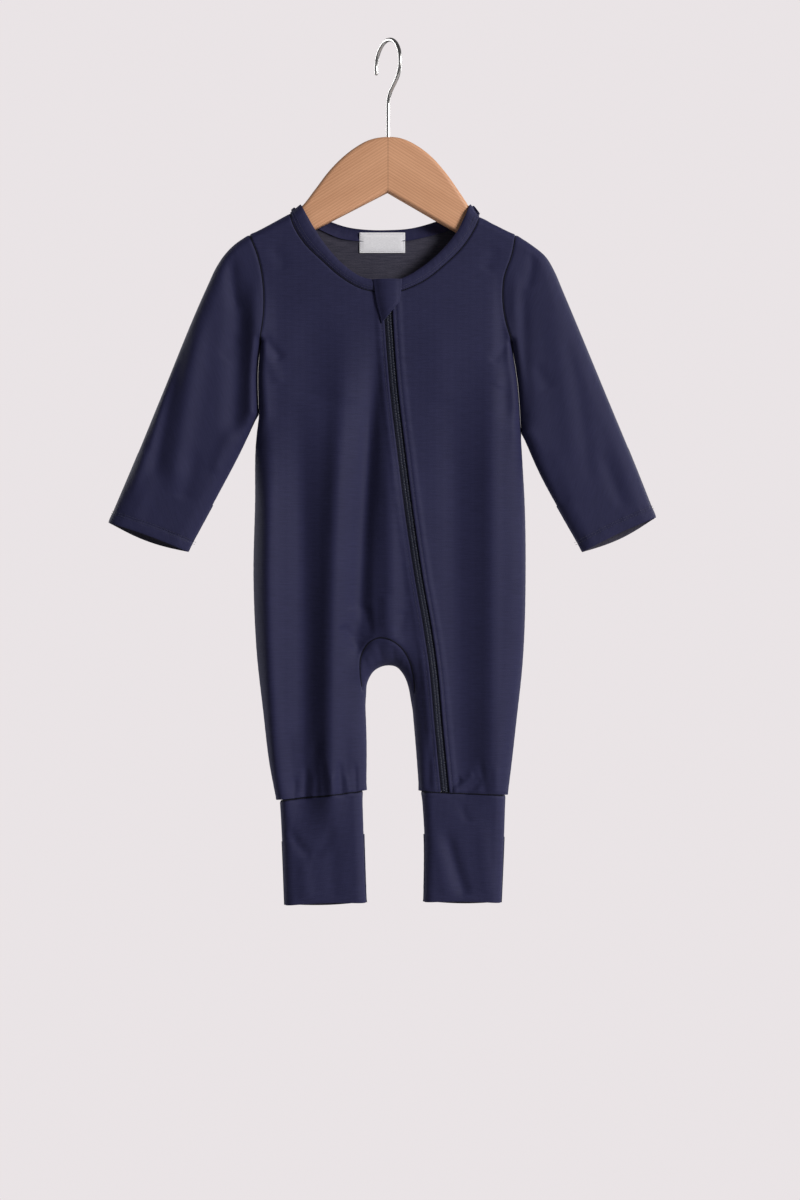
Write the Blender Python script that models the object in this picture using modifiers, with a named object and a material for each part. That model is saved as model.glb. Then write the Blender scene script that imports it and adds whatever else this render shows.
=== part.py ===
"""A zip-up baby romper on a small wooden hanger.

World units are metres with +Z up. The origin is the inner top of the hanger's hook, where a rod holds it.
+X is the wearer's left and the front faces -Y. The tables are in millimetres, and MM turns them into metres.

Every cloth surface is the flat outline of the hanging garment, blown out to the front and the back: skin()
gives the point and the outward direction over any place of the outline, from the fold edges round it, how
full the cloth hangs there and its largest folds.
"""

import math
from collections import namedtuple

import bmesh
import bpy
import numpy as np

COLLECTION = "romper_on_hanger"
CUTTERS = "cutters"
MM = 0.001
CLOTH = 1.2  # wall of every cloth piece
TRIM = 1.0  # wall of the zip tapes and the label
SEAM = 0.3  # gap between neighbouring pieces
HALF_GAP = 0.17  # half the gap between front and back pieces at a fold
PROBE = 0.5  # half the distance over which a slope is measured
FRONT = -1
BACK = 1

WOOD_THICKNESS = 11.0
WOOD_ROUND = 3.5
WIRE = 3.2
HOOK_RADIUS = 20.0  # of the wire's middle line
HOOK_TURN = math.radians(60.3)  # hook plane against the hanger's plane
HOOK_TIP = math.radians(192)
HOOK_LEAVES = math.radians(-50)  # where the wire leaves the circle for the stem
BEND_RADIUS = 16.0
STEM_END = -98.0
STEM_BORE = 3.9
BORE_END = -99.0

ZIP_OPENING = 8.0  # between the folded edges of the front panels
TAPE_WIDTH = 12.0
COIL_WIDTH = 4.4
ZIP_TOP = -203.0
ZIP_END = -611.5
TAPE_DEPTH = 0.6  # gap between a panel's wall and the tape behind it
COIL_LIFT = 0.4  # how far the coil stands proud of the panels
COIL_THICKNESS = 1.4
ZIP_ROWS = 24
SLEEVE_GAP = 0.5  # between a sleeve and the body
SLIDER = (7.0, 1.6, 9.0)
PULL = (4.0, 0.8, 13.0)
PULL_OFFSET = (0.4, -3.5)  # of its middle from the slider's
SLIDER_Z = -210.0
LABEL_WIDTH = (-23.5, 14.0)
LABEL_HEIGHT = (-155.2, -172.0)
LABEL_DEPTH = 0.6  # gap between the back's wall and the label
BAND_GAP = 0.05  # share of the band's width left free at its seam
HEM_DROP = 3.5  # how far the middle of a sleeve's hem hangs lower behind
HEM_RISE = 1.2  # how far the middle of a hem rises in front
CUFF_DROP = 1.75

ROW_STEP = 20.0
PANEL_COLUMNS = 9
BACK_COLUMNS = 10  # from a side to the middle
SHOULDER_COLUMNS = 3  # of the back's columns, those that end on the shoulder seam
NECK_SPREAD = 1.9  # how much closer together the back's columns lie at the middle of the neck
ZIP_COLUMNS = 3
NECK_FADE = 30.0  # how far below the neck seam the rows still follow its curve
GUSSET_ENDS = (0.08, 0.92)  # share of the crotch's fold where the gusset starts and ends
SLEEVE_ROWS = 13
SLEEVE_COLUMNS = 9
FLAP_ROW = 10  # row of the sleeve where its mitten flap starts
CUFF_ROWS = 5
CUFF_COLUMNS = 7
FOOT_FLAP_ROW = 2
BAND_COLUMNS = 10
BAND_SPREAD = 1.6  # how much closer together the band's columns lie at the shoulder

Edge = namedtuple("Edge", "x z round")  # a fold edge of the outline, and how wide the cloth rounds off there
Place = namedtuple("Place", "x z")
Bulk = namedtuple("Bulk", "x z reach half")  # half the depth of the garment near a place
Sway = namedtuple("Sway", "x z reach forward")
Fold = namedtuple("Fold", "side x1 z1 x2 z2 width height")
Rows = namedtuple("Rows", "outer inner")  # a row's heights at its outer and inner ends

# Fold edges, from the neck outwards and from the top down
SHOULDER_RIGHT = [
    Edge(-71.9, -133.3, 7), Edge(-80.4, -140.2, 7), Edge(-97.0, -149.4, 7), Edge(-113.7, -158.1, 7),
]
SHOULDER_LEFT = [
    Edge(67.8, -133.2, 7), Edge(75.0, -143.0, 7), Edge(90.0, -150.6, 7), Edge(104.6, -158.1, 7),
]
SLEEVE_TOP_RIGHT = [
    Edge(-113.7, -158.1, 7), Edge(-124.8, -165.4, 7), Edge(-133.3, -173.8, 8), Edge(-140.6, -184.6, 10),
    Edge(-147.8, -199.9, 12), Edge(-187.0, -294.0, 14), Edge(-206.3, -341.4, 14), Edge(-228.7, -394.3, 13),
]
SLEEVE_TOP_LEFT = [
    Edge(104.6, -158.1, 7), Edge(118.0, -166.8, 7), Edge(129.4, -176.4, 8), Edge(136.6, -188.6, 10),
    Edge(142.5, -202.5, 12), Edge(181.7, -296.8, 14), Edge(201.4, -344.5, 14), Edge(219.4, -390.0, 13),
]
# where a sleeve hangs against the body, down from the underarm
SLIT_RIGHT = [Edge(-104.4, -246.8, 6), Edge(-106.4, -268.0, 7), Edge(-105.9, -305.9, 9)]
SLIT_LEFT = [Edge(101.2, -246.8, 6), Edge(106.2, -280.2, 7), Edge(109.2, -321.5, 9)]
SLEEVE_UNDER_RIGHT = [
    Edge(-105.9, -305.9, 9), Edge(-121.4, -339.0, 13), Edge(-139.2, -372.8, 14), Edge(-163.6, -418.2, 13),
]
SLEEVE_UNDER_LEFT = [
    Edge(109.2, -321.5, 9), Edge(124.6, -356.3, 13), Edge(140.3, -385.3, 14), Edge(159.2, -418.3, 13),
]
SIDE_RIGHT = [
    Edge(-105.9, -305.9, 9), Edge(-108.5, -327.0, 14), Edge(-109.4, -377.8, 16), Edge(-110.7, -440.0, 16),
    Edge(-108.2, -498.3, 16), Edge(-102.5, -550.2, 15), Edge(-97.4, -592.0, 13), Edge(-91.8, -621.0, 10),
]
SIDE_LEFT = [
    Edge(109.2, -321.5, 9), Edge(110.6, -345.0, 14), Edge(112.4, -377.8, 16), Edge(113.2, -430.0, 16),
    Edge(110.4, -511.8, 16), Edge(105.5, -556.4, 15), Edge(101.4, -592.0, 13), Edge(98.2, -616.8, 10),
]
INSEAM_RIGHT = [Edge(-18.2, -538.0, 20), Edge(-17.0, -575.0, 16), Edge(-17.3, -613.0, 11)]
INSEAM_LEFT = [Edge(18.9, -541.0, 20), Edge(22.3, -579.6, 16), Edge(24.9, -613.5, 11)]
CROTCH = [
    Edge(-18.2, -538.0, 20), Edge(-16.9, -525.0, 22), Edge(-11.5, -515.8, 22), Edge(-2.0, -511.4, 22),
    Edge(6.5, -512.3, 22), Edge(13.0, -519.4, 22), Edge(17.0, -530.0, 22), Edge(18.9, -541.0, 20),
]
CUFF_RIGHT_OUTER = [Edge(-88.8, -621.8, 9), Edge(-87.2, -653.0, 9), Edge(-85.0, -707.5, 9)]
CUFF_RIGHT_INNER = [Edge(-20.3, -613.6, 9), Edge(-18.9, -656.8, 9), Edge(-17.3, -705.2, 9)]
CUFF_LEFT_OUTER = [Edge(96.4, -617.0, 9), Edge(95.0, -660.0, 9), Edge(93.0, -705.2, 9)]
CUFF_LEFT_INNER = [Edge(26.6, -613.9, 9), Edge(29.0, -654.0, 9), Edge(28.7, -704.5, 9)]

# Seams inside the outline
ARMHOLE_RIGHT = [
    Place(-113.7, -158.1), Place(-106.6, -175.5), Place(-101.6, -202.5), Place(-101.4, -223.7),
    Place(-104.4, -246.8),
]
ARMHOLE_LEFT = [
    Place(104.6, -158.1), Place(101.2, -175.6), Place(94.9, -194.3), Place(93.8, -209.1),
    Place(95.9, -228.0), Place(101.2, -246.7),
]
NECK_RIGHT = [
    Place(-80.4, -140.2), Place(-78.4, -148.0), Place(-68.9, -165.1), Place(-54.1, -179.9),
    Place(-37.5, -194.3), Place(-22.8, -202.8), Place(-4.0, -207.4),
]
NECK_LEFT = [
    Place(75.0, -143.0), Place(72.8, -149.8), Place(62.5, -167.3), Place(45.8, -184.2), Place(29.0, -197.2),
    Place(14.4, -204.0), Place(4.0, -207.4),
]
NECK_BACK = [
    Place(-80.4, -140.2), Place(-53.3, -154.4), Place(-40.2, -160.0), Place(-24.2, -162.5),
    Place(0.0, -163.0), Place(15.4, -162.2), Place(31.4, -159.0), Place(46.5, -154.8), Place(75.0, -143.0),
]
BAND_RIGHT = [
    Place(-71.9, -133.3), Place(-68.6, -139.0), Place(-60.4, -153.6), Place(-47.9, -171.5),
    Place(-35.3, -184.6), Place(-22.8, -193.2), Place(-4.0, -197.4),
]
BAND_LEFT = [
    Place(67.8, -133.2), Place(64.8, -139.6), Place(56.2, -156.8), Place(42.6, -173.2), Place(24.8, -187.8),
    Place(13.0, -194.4), Place(4.0, -197.4),
]
BAND_BACK = [
    Place(-71.9, -133.3), Place(-46.7, -146.6), Place(-34.5, -150.6), Place(-19.4, -152.8),
    Place(0.0, -153.2), Place(18.2, -151.9), Place(37.1, -147.0), Place(67.8, -133.2),
]
GUSSET_SEAM = [
    Place(-20.6, -531.0), Place(-22.6, -516.0), Place(-21.6, -502.0), Place(-15.5, -492.2),
    Place(-6.6, -488.3), Place(3.0, -490.6), Place(11.0, -496.6), Place(17.2, -507.0), Place(20.3, -519.0),
    Place(21.6, -533.0),
]
CENTRE = [Place(-22.8, -202.8), Place(-16.0, -300.0), Place(-9.0, -420.0), Place(-6.6, -488.3)]
ZIP_LINE = [
    Place(0.0, -196.0), Place(0.0, -211.6), Place(1.6, -244.4), Place(4.9, -285.4), Place(10.7, -334.6),
    Place(18.0, -392.0), Place(25.4, -441.2), Place(32.0, -478.1), Place(37.3, -515.0), Place(41.4, -560.1),
    Place(46.7, -614.5),
]

BULKS = [
    Bulk(0, -165, 60, 9.0), Bulk(-115, -170, 45, 8.8), Bulk(115, -170, 45, 8.8), Bulk(0, -250, 60, 11.5),
    Bulk(0, -340, 80, 13.0), Bulk(0, -440, 80, 14.0), Bulk(-62, -530, 55, 13.5), Bulk(62, -530, 55, 13.5),
    Bulk(-58, -605, 40, 11.5), Bulk(60, -605, 40, 11.5), Bulk(-53, -690, 50, 8.5), Bulk(60, -690, 50, 8.5),
    Bulk(-150, -250, 45, 10.5), Bulk(150, -250, 45, 10.5), Bulk(-175, -330, 50, 10.5),
    Bulk(172, -330, 50, 10.5), Bulk(-195, -400, 45, 8.0), Bulk(190, -400, 45, 8.0),
]
SWAYS = [
    Sway(-195, -400, 90, 3.0), Sway(190, -400, 90, 1.0), Sway(-53, -700, 110, 1.5), Sway(60, -700, 110, 4.0),
]
FOLDS = [
    # front: soft folds that hang from the chest, and those of the legs
    Fold(FRONT, -65, -330, -68, -500, 14, 2.4), Fold(FRONT, -35, -320, -30, -500, 12, -3.6),
    Fold(FRONT, -8, -330, -2, -460, 11, 1.8), Fold(FRONT, -84, -520, -80, -600, 9, 1.6),
    Fold(FRONT, -60, -540, -60, -606, 8, -2.2), Fold(FRONT, -37, -530, -36, -605, 8, 1.8),
    Fold(FRONT, 55, -440, 62, -560, 16, 1.6), Fold(FRONT, 80, -340, 84, -520, 14, -2.0),
    Fold(FRONT, 52, -250, 62, -380, 18, 1.5), Fold(FRONT, 47, -644, 62, -700, 7, -3.0),
    # front of the sleeves
    Fold(FRONT, -119, -228, -112, -290, 6, -2.6), Fold(FRONT, -143, -215, -178, -360, 12, 1.8),
    Fold(FRONT, 110, -205, 112, -285, 5, -2.4), Fold(FRONT, 150, -220, 176, -340, 13, 1.6),
    # back
    Fold(BACK, -48, -280, -58, -520, 14, -3.0), Fold(BACK, 38, -270, 52, -540, 14, -2.8),
    Fold(BACK, -4, -330, -2, -470, 15, 2.2), Fold(BACK, -82, -360, -84, -560, 12, 1.8),
    Fold(BACK, 84, -350, 82, -560, 12, 1.8), Fold(BACK, -150, -230, -180, -360, 10, -2.0),
    Fold(BACK, 148, -230, 176, -350, 10, -2.2), Fold(BACK, -52, -560, -54, -606, 9, 1.8),
    Fold(BACK, 62, -560, 62, -606, 9, -1.8),
]

# Rows of the panels: closer together where the cloth turns over the shoulder and round the gusset
FRONT_RIGHT_ROWS = [
    Rows(-158.1, -140.2), Rows(-159.3, -141.6), Rows(-162.2, -145.0), Rows(-167.5, -151.5),
    Rows(-177.0, -161.0), Rows(-187.0, -171.5), Rows(-199.0, -183.0), Rows(-212.0, -194.3),
    Rows(-225.0, -202.8), Rows(-237.0, -214.0), Rows(-246.8, -225.0), Rows(-262.0, -250.0),
    Rows(-305.9, -300.0), Rows(-330.0, -328.0), Rows(-488.3, -488.3),
]
FRONT_LEFT_ROWS = [
    Rows(-158.1, -143.0), Rows(-159.3, -144.4), Rows(-162.2, -147.8), Rows(-167.5, -154.0),
    Rows(-177.0, -163.5), Rows(-187.0, -174.0), Rows(-199.0, -185.5), Rows(-210.0, -197.2),
    Rows(-217.0, -202.6), Rows(-221.0, -205.2), Rows(-225.0, -207.4), Rows(-237.0, -218.0),
    Rows(-246.8, -228.0), Rows(-262.0, -250.0), Rows(-321.5, -315.0), Rows(-345.0, -340.0),
    Rows(-616.8, -614.6),
]
BACK_ROWS = [
    Rows(-158.1, -163.0), Rows(-159.3, -164.0), Rows(-162.2, -166.6), Rows(-167.5, -171.2),
    Rows(-177.0, -179.5), Rows(-187.0, -188.5), Rows(-199.0, -200.0), Rows(-212.0, -212.0),
    Rows(-228.0, -228.0), Rows(-246.8, -246.8), Rows(-305.9, -305.9), Rows(-321.5, -321.5),
    Rows(-488.3, -488.3),
]
LEG_RIGHT_ROWS = [
    Rows(-488.3, -488.3), Rows(-491.5, -492.2), Rows(-499.0, -502.0), Rows(-514.0, -516.0),
    Rows(-529.0, -531.0), Rows(-537.0, -538.0), Rows(-621.0, -613.0),
]
LEG_LEFT_ROWS = [
    Rows(-488.3, -488.3), Rows(-490.6, -490.6), Rows(-496.6, -496.6), Rows(-507.0, -507.0),
    Rows(-519.0, -519.0), Rows(-533.0, -533.0), Rows(-541.0, -541.0), Rows(-616.8, -613.5),
]
# Between the middle line and the zip, then between the left inseam and the zip
ZIP_SIDE_ROWS = [Rows(-202.8, -207.4), Rows(-225.0, -227.0), Rows(-250.0, -251.0), Rows(-488.3, -488.3)]
ZIP_LEG_ROWS = [
    Rows(-488.3, -488.3), Rows(-490.6, -491.5), Rows(-496.6, -499.0), Rows(-507.0, -509.0),
    Rows(-519.0, -520.5), Rows(-533.0, -534.0), Rows(-541.0, -541.5), Rows(-613.5, -614.2),
]

# The edges of the guard over the zip's top end, on the wearer's right and left, and its lift across
GUARD_RIGHT = [Place(-12.3, -195.9), Place(-11.4, -202.0), Place(-9.0, -217.0), Place(-5.0, -232.0)]
GUARD_LEFT = [Place(11.5, -195.9), Place(10.9, -205.0), Place(9.8, -214.0)]
GUARD_LIFTS = [(0.0, 1.6), (0.25, 4.6), (0.5, 5.4), (0.8, 5.2), (1.0, 4.2)]  # share of its width, lift

WOOD_OUTLINE = [
    Place(0.0, -78.3), Place(-8.5, -79.0), Place(-15.7, -80.9), Place(-27.0, -87.0), Place(-37.3, -95.0),
    Place(-47.6, -105.4), Place(-59.9, -121.4), Place(-70.3, -134.8), Place(-75.6, -140.0),
    Place(-82.4, -144.5), Place(-97.5, -152.8), Place(-113.0, -161.3), Place(-123.0, -168.6),
    Place(-129.3, -174.8), Place(-132.3, -181.0), Place(-130.8, -187.0), Place(-124.5, -188.0),
    Place(-60.4, -154.5), Place(-0.6, -123.7), Place(55.4, -156.2), Place(118.5, -192.6),
    Place(125.0, -191.6), Place(127.2, -185.5), Place(124.0, -178.6), Place(117.0, -171.4),
    Place(104.0, -162.4), Place(88.0, -153.7), Place(74.6, -146.6), Place(69.0, -140.0),
    Place(64.8, -133.0), Place(59.0, -124.2), Place(45.5, -105.4), Place(36.1, -95.0), Place(24.8, -86.1),
    Place(14.0, -80.5), Place(8.0, -78.8),
]

Finish = namedtuple("Finish", "color roughness metallic")
JERSEY = Finish((0.026, 0.027, 0.065), 0.82, 0.0)
TAPE = Finish((0.018, 0.024, 0.040), 0.75, 0.0)
NYLON = Finish((0.030, 0.038, 0.055), 0.45, 0.0)
LABEL = Finish((0.86, 0.86, 0.88), 0.70, 0.0)
WOOD = Finish((0.58, 0.30, 0.14), 0.50, 0.0)
STEEL = Finish((0.62, 0.61, 0.60), 0.28, 1.0)


# ---------------------------------------------------------------- curves of the outline plane


def smooth(rows, step=3.0):
    """Points along a smooth curve through the rows of a table, with all its columns, about `step` apart."""
    table = np.array(rows, float)
    spans = np.hypot(*np.diff(table[:, :2], axis=0).T)
    slopes = np.diff(table, axis=0) / spans[:, None]
    weights = spans[:, None]
    inner = (slopes[:-1] * weights[1:] + slopes[1:] * weights[:-1]) / (weights[1:] + weights[:-1])
    tangents = np.vstack([slopes[:1], inner, slopes[-1:]])
    points = [table[:1]]
    for i, span in enumerate(spans):
        count = max(2, math.ceil(span / step))
        t = (np.arange(1, count + 1) / count)[:, None]
        start, end = table[i], table[i + 1]
        points.append(
            (2 * t**3 - 3 * t**2 + 1) * start + (t**3 - 2 * t**2 + t) * span * tangents[i]
            + (3 * t**2 - 2 * t**3) * end + (t**3 - t**2) * span * tangents[i + 1]
        )
    return np.vstack(points)


def along(curve, share):
    """The places at these shares of the curve's length."""
    run = np.concatenate([[0.0], np.cumsum(np.hypot(*np.diff(curve[:, :2], axis=0).T))])
    run = run / run[-1]
    return np.stack([np.interp(share, run, curve[:, 0]), np.interp(share, run, curve[:, 1])], axis=-1)


def x_at(curve, z):
    """Where a curve that runs downwards crosses these heights."""
    return np.interp(-np.asarray(z, float), -curve[:, 1], curve[:, 0])


def joined(*tables):
    """One curve through several smooth ones that meet end to end."""
    curves = [smooth(table)[:, :2] for table in tables]
    return np.vstack([curves[0]] + [curve[1:] for curve in curves[1:]])


def fold_edges(*groups):
    """Fold edges of one part of the garment: each group of curves rounds the cloth off once."""
    return [[smooth(table) for table in group] for group in groups]


BODY_EDGES = fold_edges(
    [SHOULDER_RIGHT, SLEEVE_TOP_RIGHT], [SHOULDER_LEFT, SLEEVE_TOP_LEFT],
    [SLIT_RIGHT, SIDE_RIGHT, SLEEVE_UNDER_RIGHT], [SLIT_LEFT, SIDE_LEFT, SLEEVE_UNDER_LEFT],
    [CROTCH, INSEAM_RIGHT, INSEAM_LEFT],
)
CUFF_RIGHT_EDGES = fold_edges([CUFF_RIGHT_OUTER], [CUFF_RIGHT_INNER])
CUFF_LEFT_EDGES = fold_edges([CUFF_LEFT_OUTER], [CUFF_LEFT_INNER])


# ---------------------------------------------------------------- the cloth's surface


def nearest(curve, x, z):
    """For each place: its distance to the curve, the rounding there, and the unit vector away from it."""
    a, b = curve[:-1], curve[1:]
    step = b[:, :2] - a[:, :2]
    dx, dz = x[:, None] - a[None, :, 0], z[:, None] - a[None, :, 1]
    t = np.clip((dx * step[:, 0] + dz * step[:, 1]) / (step**2).sum(axis=1), 0, 1)
    off_x, off_z = dx - t * step[:, 0], dz - t * step[:, 1]
    best = np.argmin(off_x**2 + off_z**2, axis=1)
    pick = (np.arange(len(x)), best)
    off = np.stack([off_x[pick], off_z[pick]], axis=1)
    distance = np.linalg.norm(off, axis=1)
    width = a[best, 2] + t[pick] * (b[best, 2] - a[best, 2])
    return distance, width, off / np.maximum(distance, 1e-9)[:, None]


def rounding(edges, x, z):
    """How far the cloth has opened from its fold edges, 0 on one and 1 away from all, with its slope."""
    opened = np.ones(len(x))
    parts = []
    for group in edges:
        found = [nearest(curve, x, z) for curve in group]
        shares = np.stack([distance / width for distance, width, _ in found])
        best = np.argmin(shares, axis=0)
        pick = (best, np.arange(len(x)))
        width = np.stack([f[1] for f in found])[pick]
        inward = np.stack([f[2] for f in found])[pick]
        share = np.minimum(shares[pick], 1.0)
        open_here = np.sqrt(np.maximum(1 - (1 - share) ** 2, 0))
        opened = opened * open_here
        parts.append((np.maximum(open_here, 0.03), (1 - share) / width, inward))
    slope = np.zeros((len(x), 2))
    for open_here, rate, inward in parts:
        slope += (np.maximum(opened, 0.03) * rate / open_here**2)[:, None] * inward
    return opened, slope


def near(rows, x, z):
    """The bell-shaped weight of each row of a table at each place."""
    table = np.array([(row.x, row.z, row.reach) for row in rows], float)
    square = (x[:, None] - table[:, 0]) ** 2 + (z[:, None] - table[:, 1]) ** 2
    return np.exp(-square / table[:, 2] ** 2)


def fullness(x, z, side):
    """Half the garment's depth away from its fold edges, with the largest folds of that side."""
    weights = near(BULKS, x, z) + 1e-9
    depth = (weights * [row.half for row in BULKS]).sum(axis=1) / weights.sum(axis=1)
    for fold in FOLDS:
        step = np.array([fold.x2 - fold.x1, fold.z2 - fold.z1])
        t = np.clip(((x - fold.x1) * step[0] + (z - fold.z1) * step[1]) / (step @ step), 0, 1)
        off = np.hypot(x - fold.x1 - t * step[0], z - fold.z1 - t * step[1])
        depth = depth + np.where(side == fold.side, fold.height * np.exp(-((off / fold.width) ** 2)), 0)
    return depth


def skin(x, z, side, edges):
    """Points of the cloth's outer surface in millimetres, and the outward direction at each."""
    opened, slope = rounding(edges, x, z)
    full = fullness(x, z, side)
    across = fullness(x + PROBE, z, side) - fullness(x - PROBE, z, side)
    upwards = fullness(x, z + PROBE, side) - fullness(x, z - PROBE, side)
    full_slope = np.stack([across, upwards], axis=1) / (2 * PROBE)
    rise = full[:, None] * slope + full_slope * opened[:, None]
    outward = np.stack([-rise[:, 0], np.full(len(x), side), -rise[:, 1]], axis=1)
    outward /= np.linalg.norm(outward, axis=1)[:, None]
    return np.stack([x, side * full * opened - sway(x, z), z], axis=1), outward


def sway(x, z):
    """How far forward the whole thickness of the garment hangs."""
    return (near(SWAYS, x, z) * [row.forward for row in SWAYS]).sum(axis=1)


def fold_direction(places, border):
    """On a border of a grid that lies on a fold edge: the direction away from the cloth, in its plane."""
    rows, columns = border
    inside = {0: 1, -1: -2}
    if isinstance(rows, slice):
        tangent, within = np.gradient(places, axis=0)[border], places[rows, inside[columns]]
    else:
        tangent, within = np.gradient(places, axis=1)[border], places[inside[rows], columns]
    away = places[border] - within
    away -= ((away * tangent).sum(axis=1) / (tangent**2).sum(axis=1))[:, None] * tangent
    away /= np.linalg.norm(away, axis=1)[:, None]
    return np.stack([away[:, 0], np.zeros(len(away)), away[:, 1]], axis=1)


# ---------------------------------------------------------------- meshes


class Sheet:
    """A cloth piece laid out on the outline plane as patches of rows, then given its walls."""

    def __init__(self, edges=BODY_EDGES, tube=False):
        self.edges = edges
        self.tube = tube
        self.outer, self.inner, self.faces = [], [], []
        self.index = {}

    def add_patch(self, places, side, folds=(), lift=0.0, wall=CLOTH):
        """Adds a grid of places (rows, columns, 2). `folds` names the borders that lie on a fold edge as
        (row slice, column slice) pairs; `lift` may be a grid too."""
        rows, columns = places.shape[:2]
        x, z = places[..., 0].ravel(), places[..., 1].ravel()
        points, outward = (
            found.reshape(rows, columns, 3) for found in skin(x, z, side, self.edges)
        )
        for border in folds:
            points[border][:, 1] = -sway(*places[border].T)
            outward[border] = fold_direction(places, border)
        points, outward = points.reshape(-1, 3), outward.reshape(-1, 3)
        if not self.tube:
            points[:, 1] += side * HALF_GAP
        raised = np.broadcast_to(np.asarray(lift, float), (rows, columns)).ravel()[:, None]
        outer, inner = points + outward * raised, points + outward * (raised - wall)
        names = np.array([self.number(a, b) for a, b in zip(outer, inner)]).reshape(rows, columns)
        corners = [names[:-1, :-1], names[1:, :-1], names[1:, 1:], names[:-1, 1:]]
        quads = np.stack([corner.ravel() for corner in corners], axis=1)
        if self.looks_inwards(quads, outward, names):
            quads = quads[:, ::-1]
        self.faces += [tuple(dict.fromkeys(quad)) for quad in quads.tolist()]

    def number(self, outer, inner):
        """The number of this point of the sheet, the same for places where patches meet."""
        key = tuple(np.round(outer, 2))
        if key not in self.index:
            self.index[key] = len(self.outer)
            self.outer.append(outer)
            self.inner.append(inner)
        return self.index[key]

    def looks_inwards(self, quads, outward, names):
        points = np.array(self.outer)
        first, second, third, fourth = (points[quads[:, i]] for i in range(4))
        across = np.cross(third - first, fourth - second)
        directions = np.zeros((len(points), 3))
        directions[names.ravel()] = outward
        return (across * directions[quads].sum(axis=1)).sum() < 0

    def make(self, name, finish):
        """The closed piece: the outer surface, the inner one, and a rim along every open border."""
        mesh = bmesh.new()
        outer = [mesh.verts.new(point * MM) for point in self.outer]
        inner = [mesh.verts.new(point * MM) for point in self.inner]
        borders = {}
        for face in self.faces:
            mesh.faces.new([outer[i] for i in face])
            # starting at the same corner, so that both sides of the wall are split along the same diagonal
            mesh.faces.new([inner[i] for i in (face[0], *reversed(face[1:]))])
            for a, b in zip(face, face[1:] + face[:1]):
                borders[a, b] = (b, a) not in borders
                if not borders[a, b]:
                    borders[b, a] = False
        for (a, b), is_open in borders.items():
            if is_open:
                mesh.faces.new([outer[b], outer[a], inner[a], inner[b]])
        return finished(mesh, name, finish)


def material_for(finish, name):
    material = bpy.data.materials.get(name) or bpy.data.materials.new(name)
    material.use_nodes = True
    shader = material.node_tree.nodes["Principled BSDF"]
    shader.inputs["Base Color"].default_value = (*finish.color, 1)
    shader.inputs["Roughness"].default_value = finish.roughness
    shader.inputs["Metallic"].default_value = finish.metallic
    return material


def placed(name, data, finish, smooth_angle=40):
    """An object of the garment's collection, with its material."""
    made = bpy.data.objects.new(name, data)
    bpy.data.collections[COLLECTION].objects.link(made)
    data.materials.append(material_for(finish, "finish_" + name))
    if made.type == "MESH":
        data.shade_smooth()
        data.set_sharp_from_angle(angle=math.radians(smooth_angle))
    return made


def finished(mesh, name, finish):
    data = bpy.data.meshes.new(name)
    mesh.to_mesh(data)
    mesh.free()
    return placed(name, data, finish)


def subdivided(rows, step):
    """The rows of a table with as many more between them as keep them about `step` apart."""
    made = [rows[0]]
    for upper, lower in zip(rows, rows[1:]):
        count = max(1, round(abs(lower.outer - upper.outer) / step))
        for i in range(1, count + 1):
            t = i / count
            made.append(Rows(*(a + t * (b - a) for a, b in zip(upper, lower))))
    return made


def packed(count):
    """Shares from 0 to 1 that lie closer together at both ends."""
    return (1 - np.cos(np.pi * np.arange(count + 1) / count)) / 2


def between(outer, inner, shares):
    """A grid of places: row i runs from outer[i] to inner[i]."""
    return outer[:, None] + (inner - outer)[:, None] * np.asarray(shares)[None, :, None]


def strip(outer_curve, inner_curve, rows, shares):
    """A grid between two edges that run downwards, at the heights of the rows."""
    outer_z = np.array([row.outer for row in rows])
    inner_z = np.array([row.inner for row in rows])
    outer = np.stack([x_at(outer_curve, outer_z), outer_z], axis=1)
    inner = np.stack([x_at(inner_curve, inner_z), inner_z], axis=1)
    return between(outer, inner, shares)


# ---------------------------------------------------------------- body panels


def zip_edge(offset):
    """The zip's middle line moved sideways."""
    return smooth(ZIP_LINE)[:, :2] + [offset, 0]


def first_at(heights, top):
    """The number of the first row that is no higher than this."""
    return int(np.nonzero(np.asarray(heights) <= top + 1e-6)[0][0])


def places_of(*tables):
    """Only the places of fold edges, for a curve that joins them to plain ones."""
    return [[Place(row.x, row.z) for row in table] for table in tables]


def side_folds(rows, inseam_top):
    """Which borders of a panel are folds: the shoulder, the side below the underarm, and the inseam."""
    side_start = first_at([row.outer for row in rows], SLIT_RIGHT[0].z)
    folds = [(0, slice(None)), (slice(side_start, None), 0)]
    if inseam_top is not None:
        folds.append((slice(first_at([row.inner for row in rows], inseam_top), None), -1))
    return folds


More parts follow.
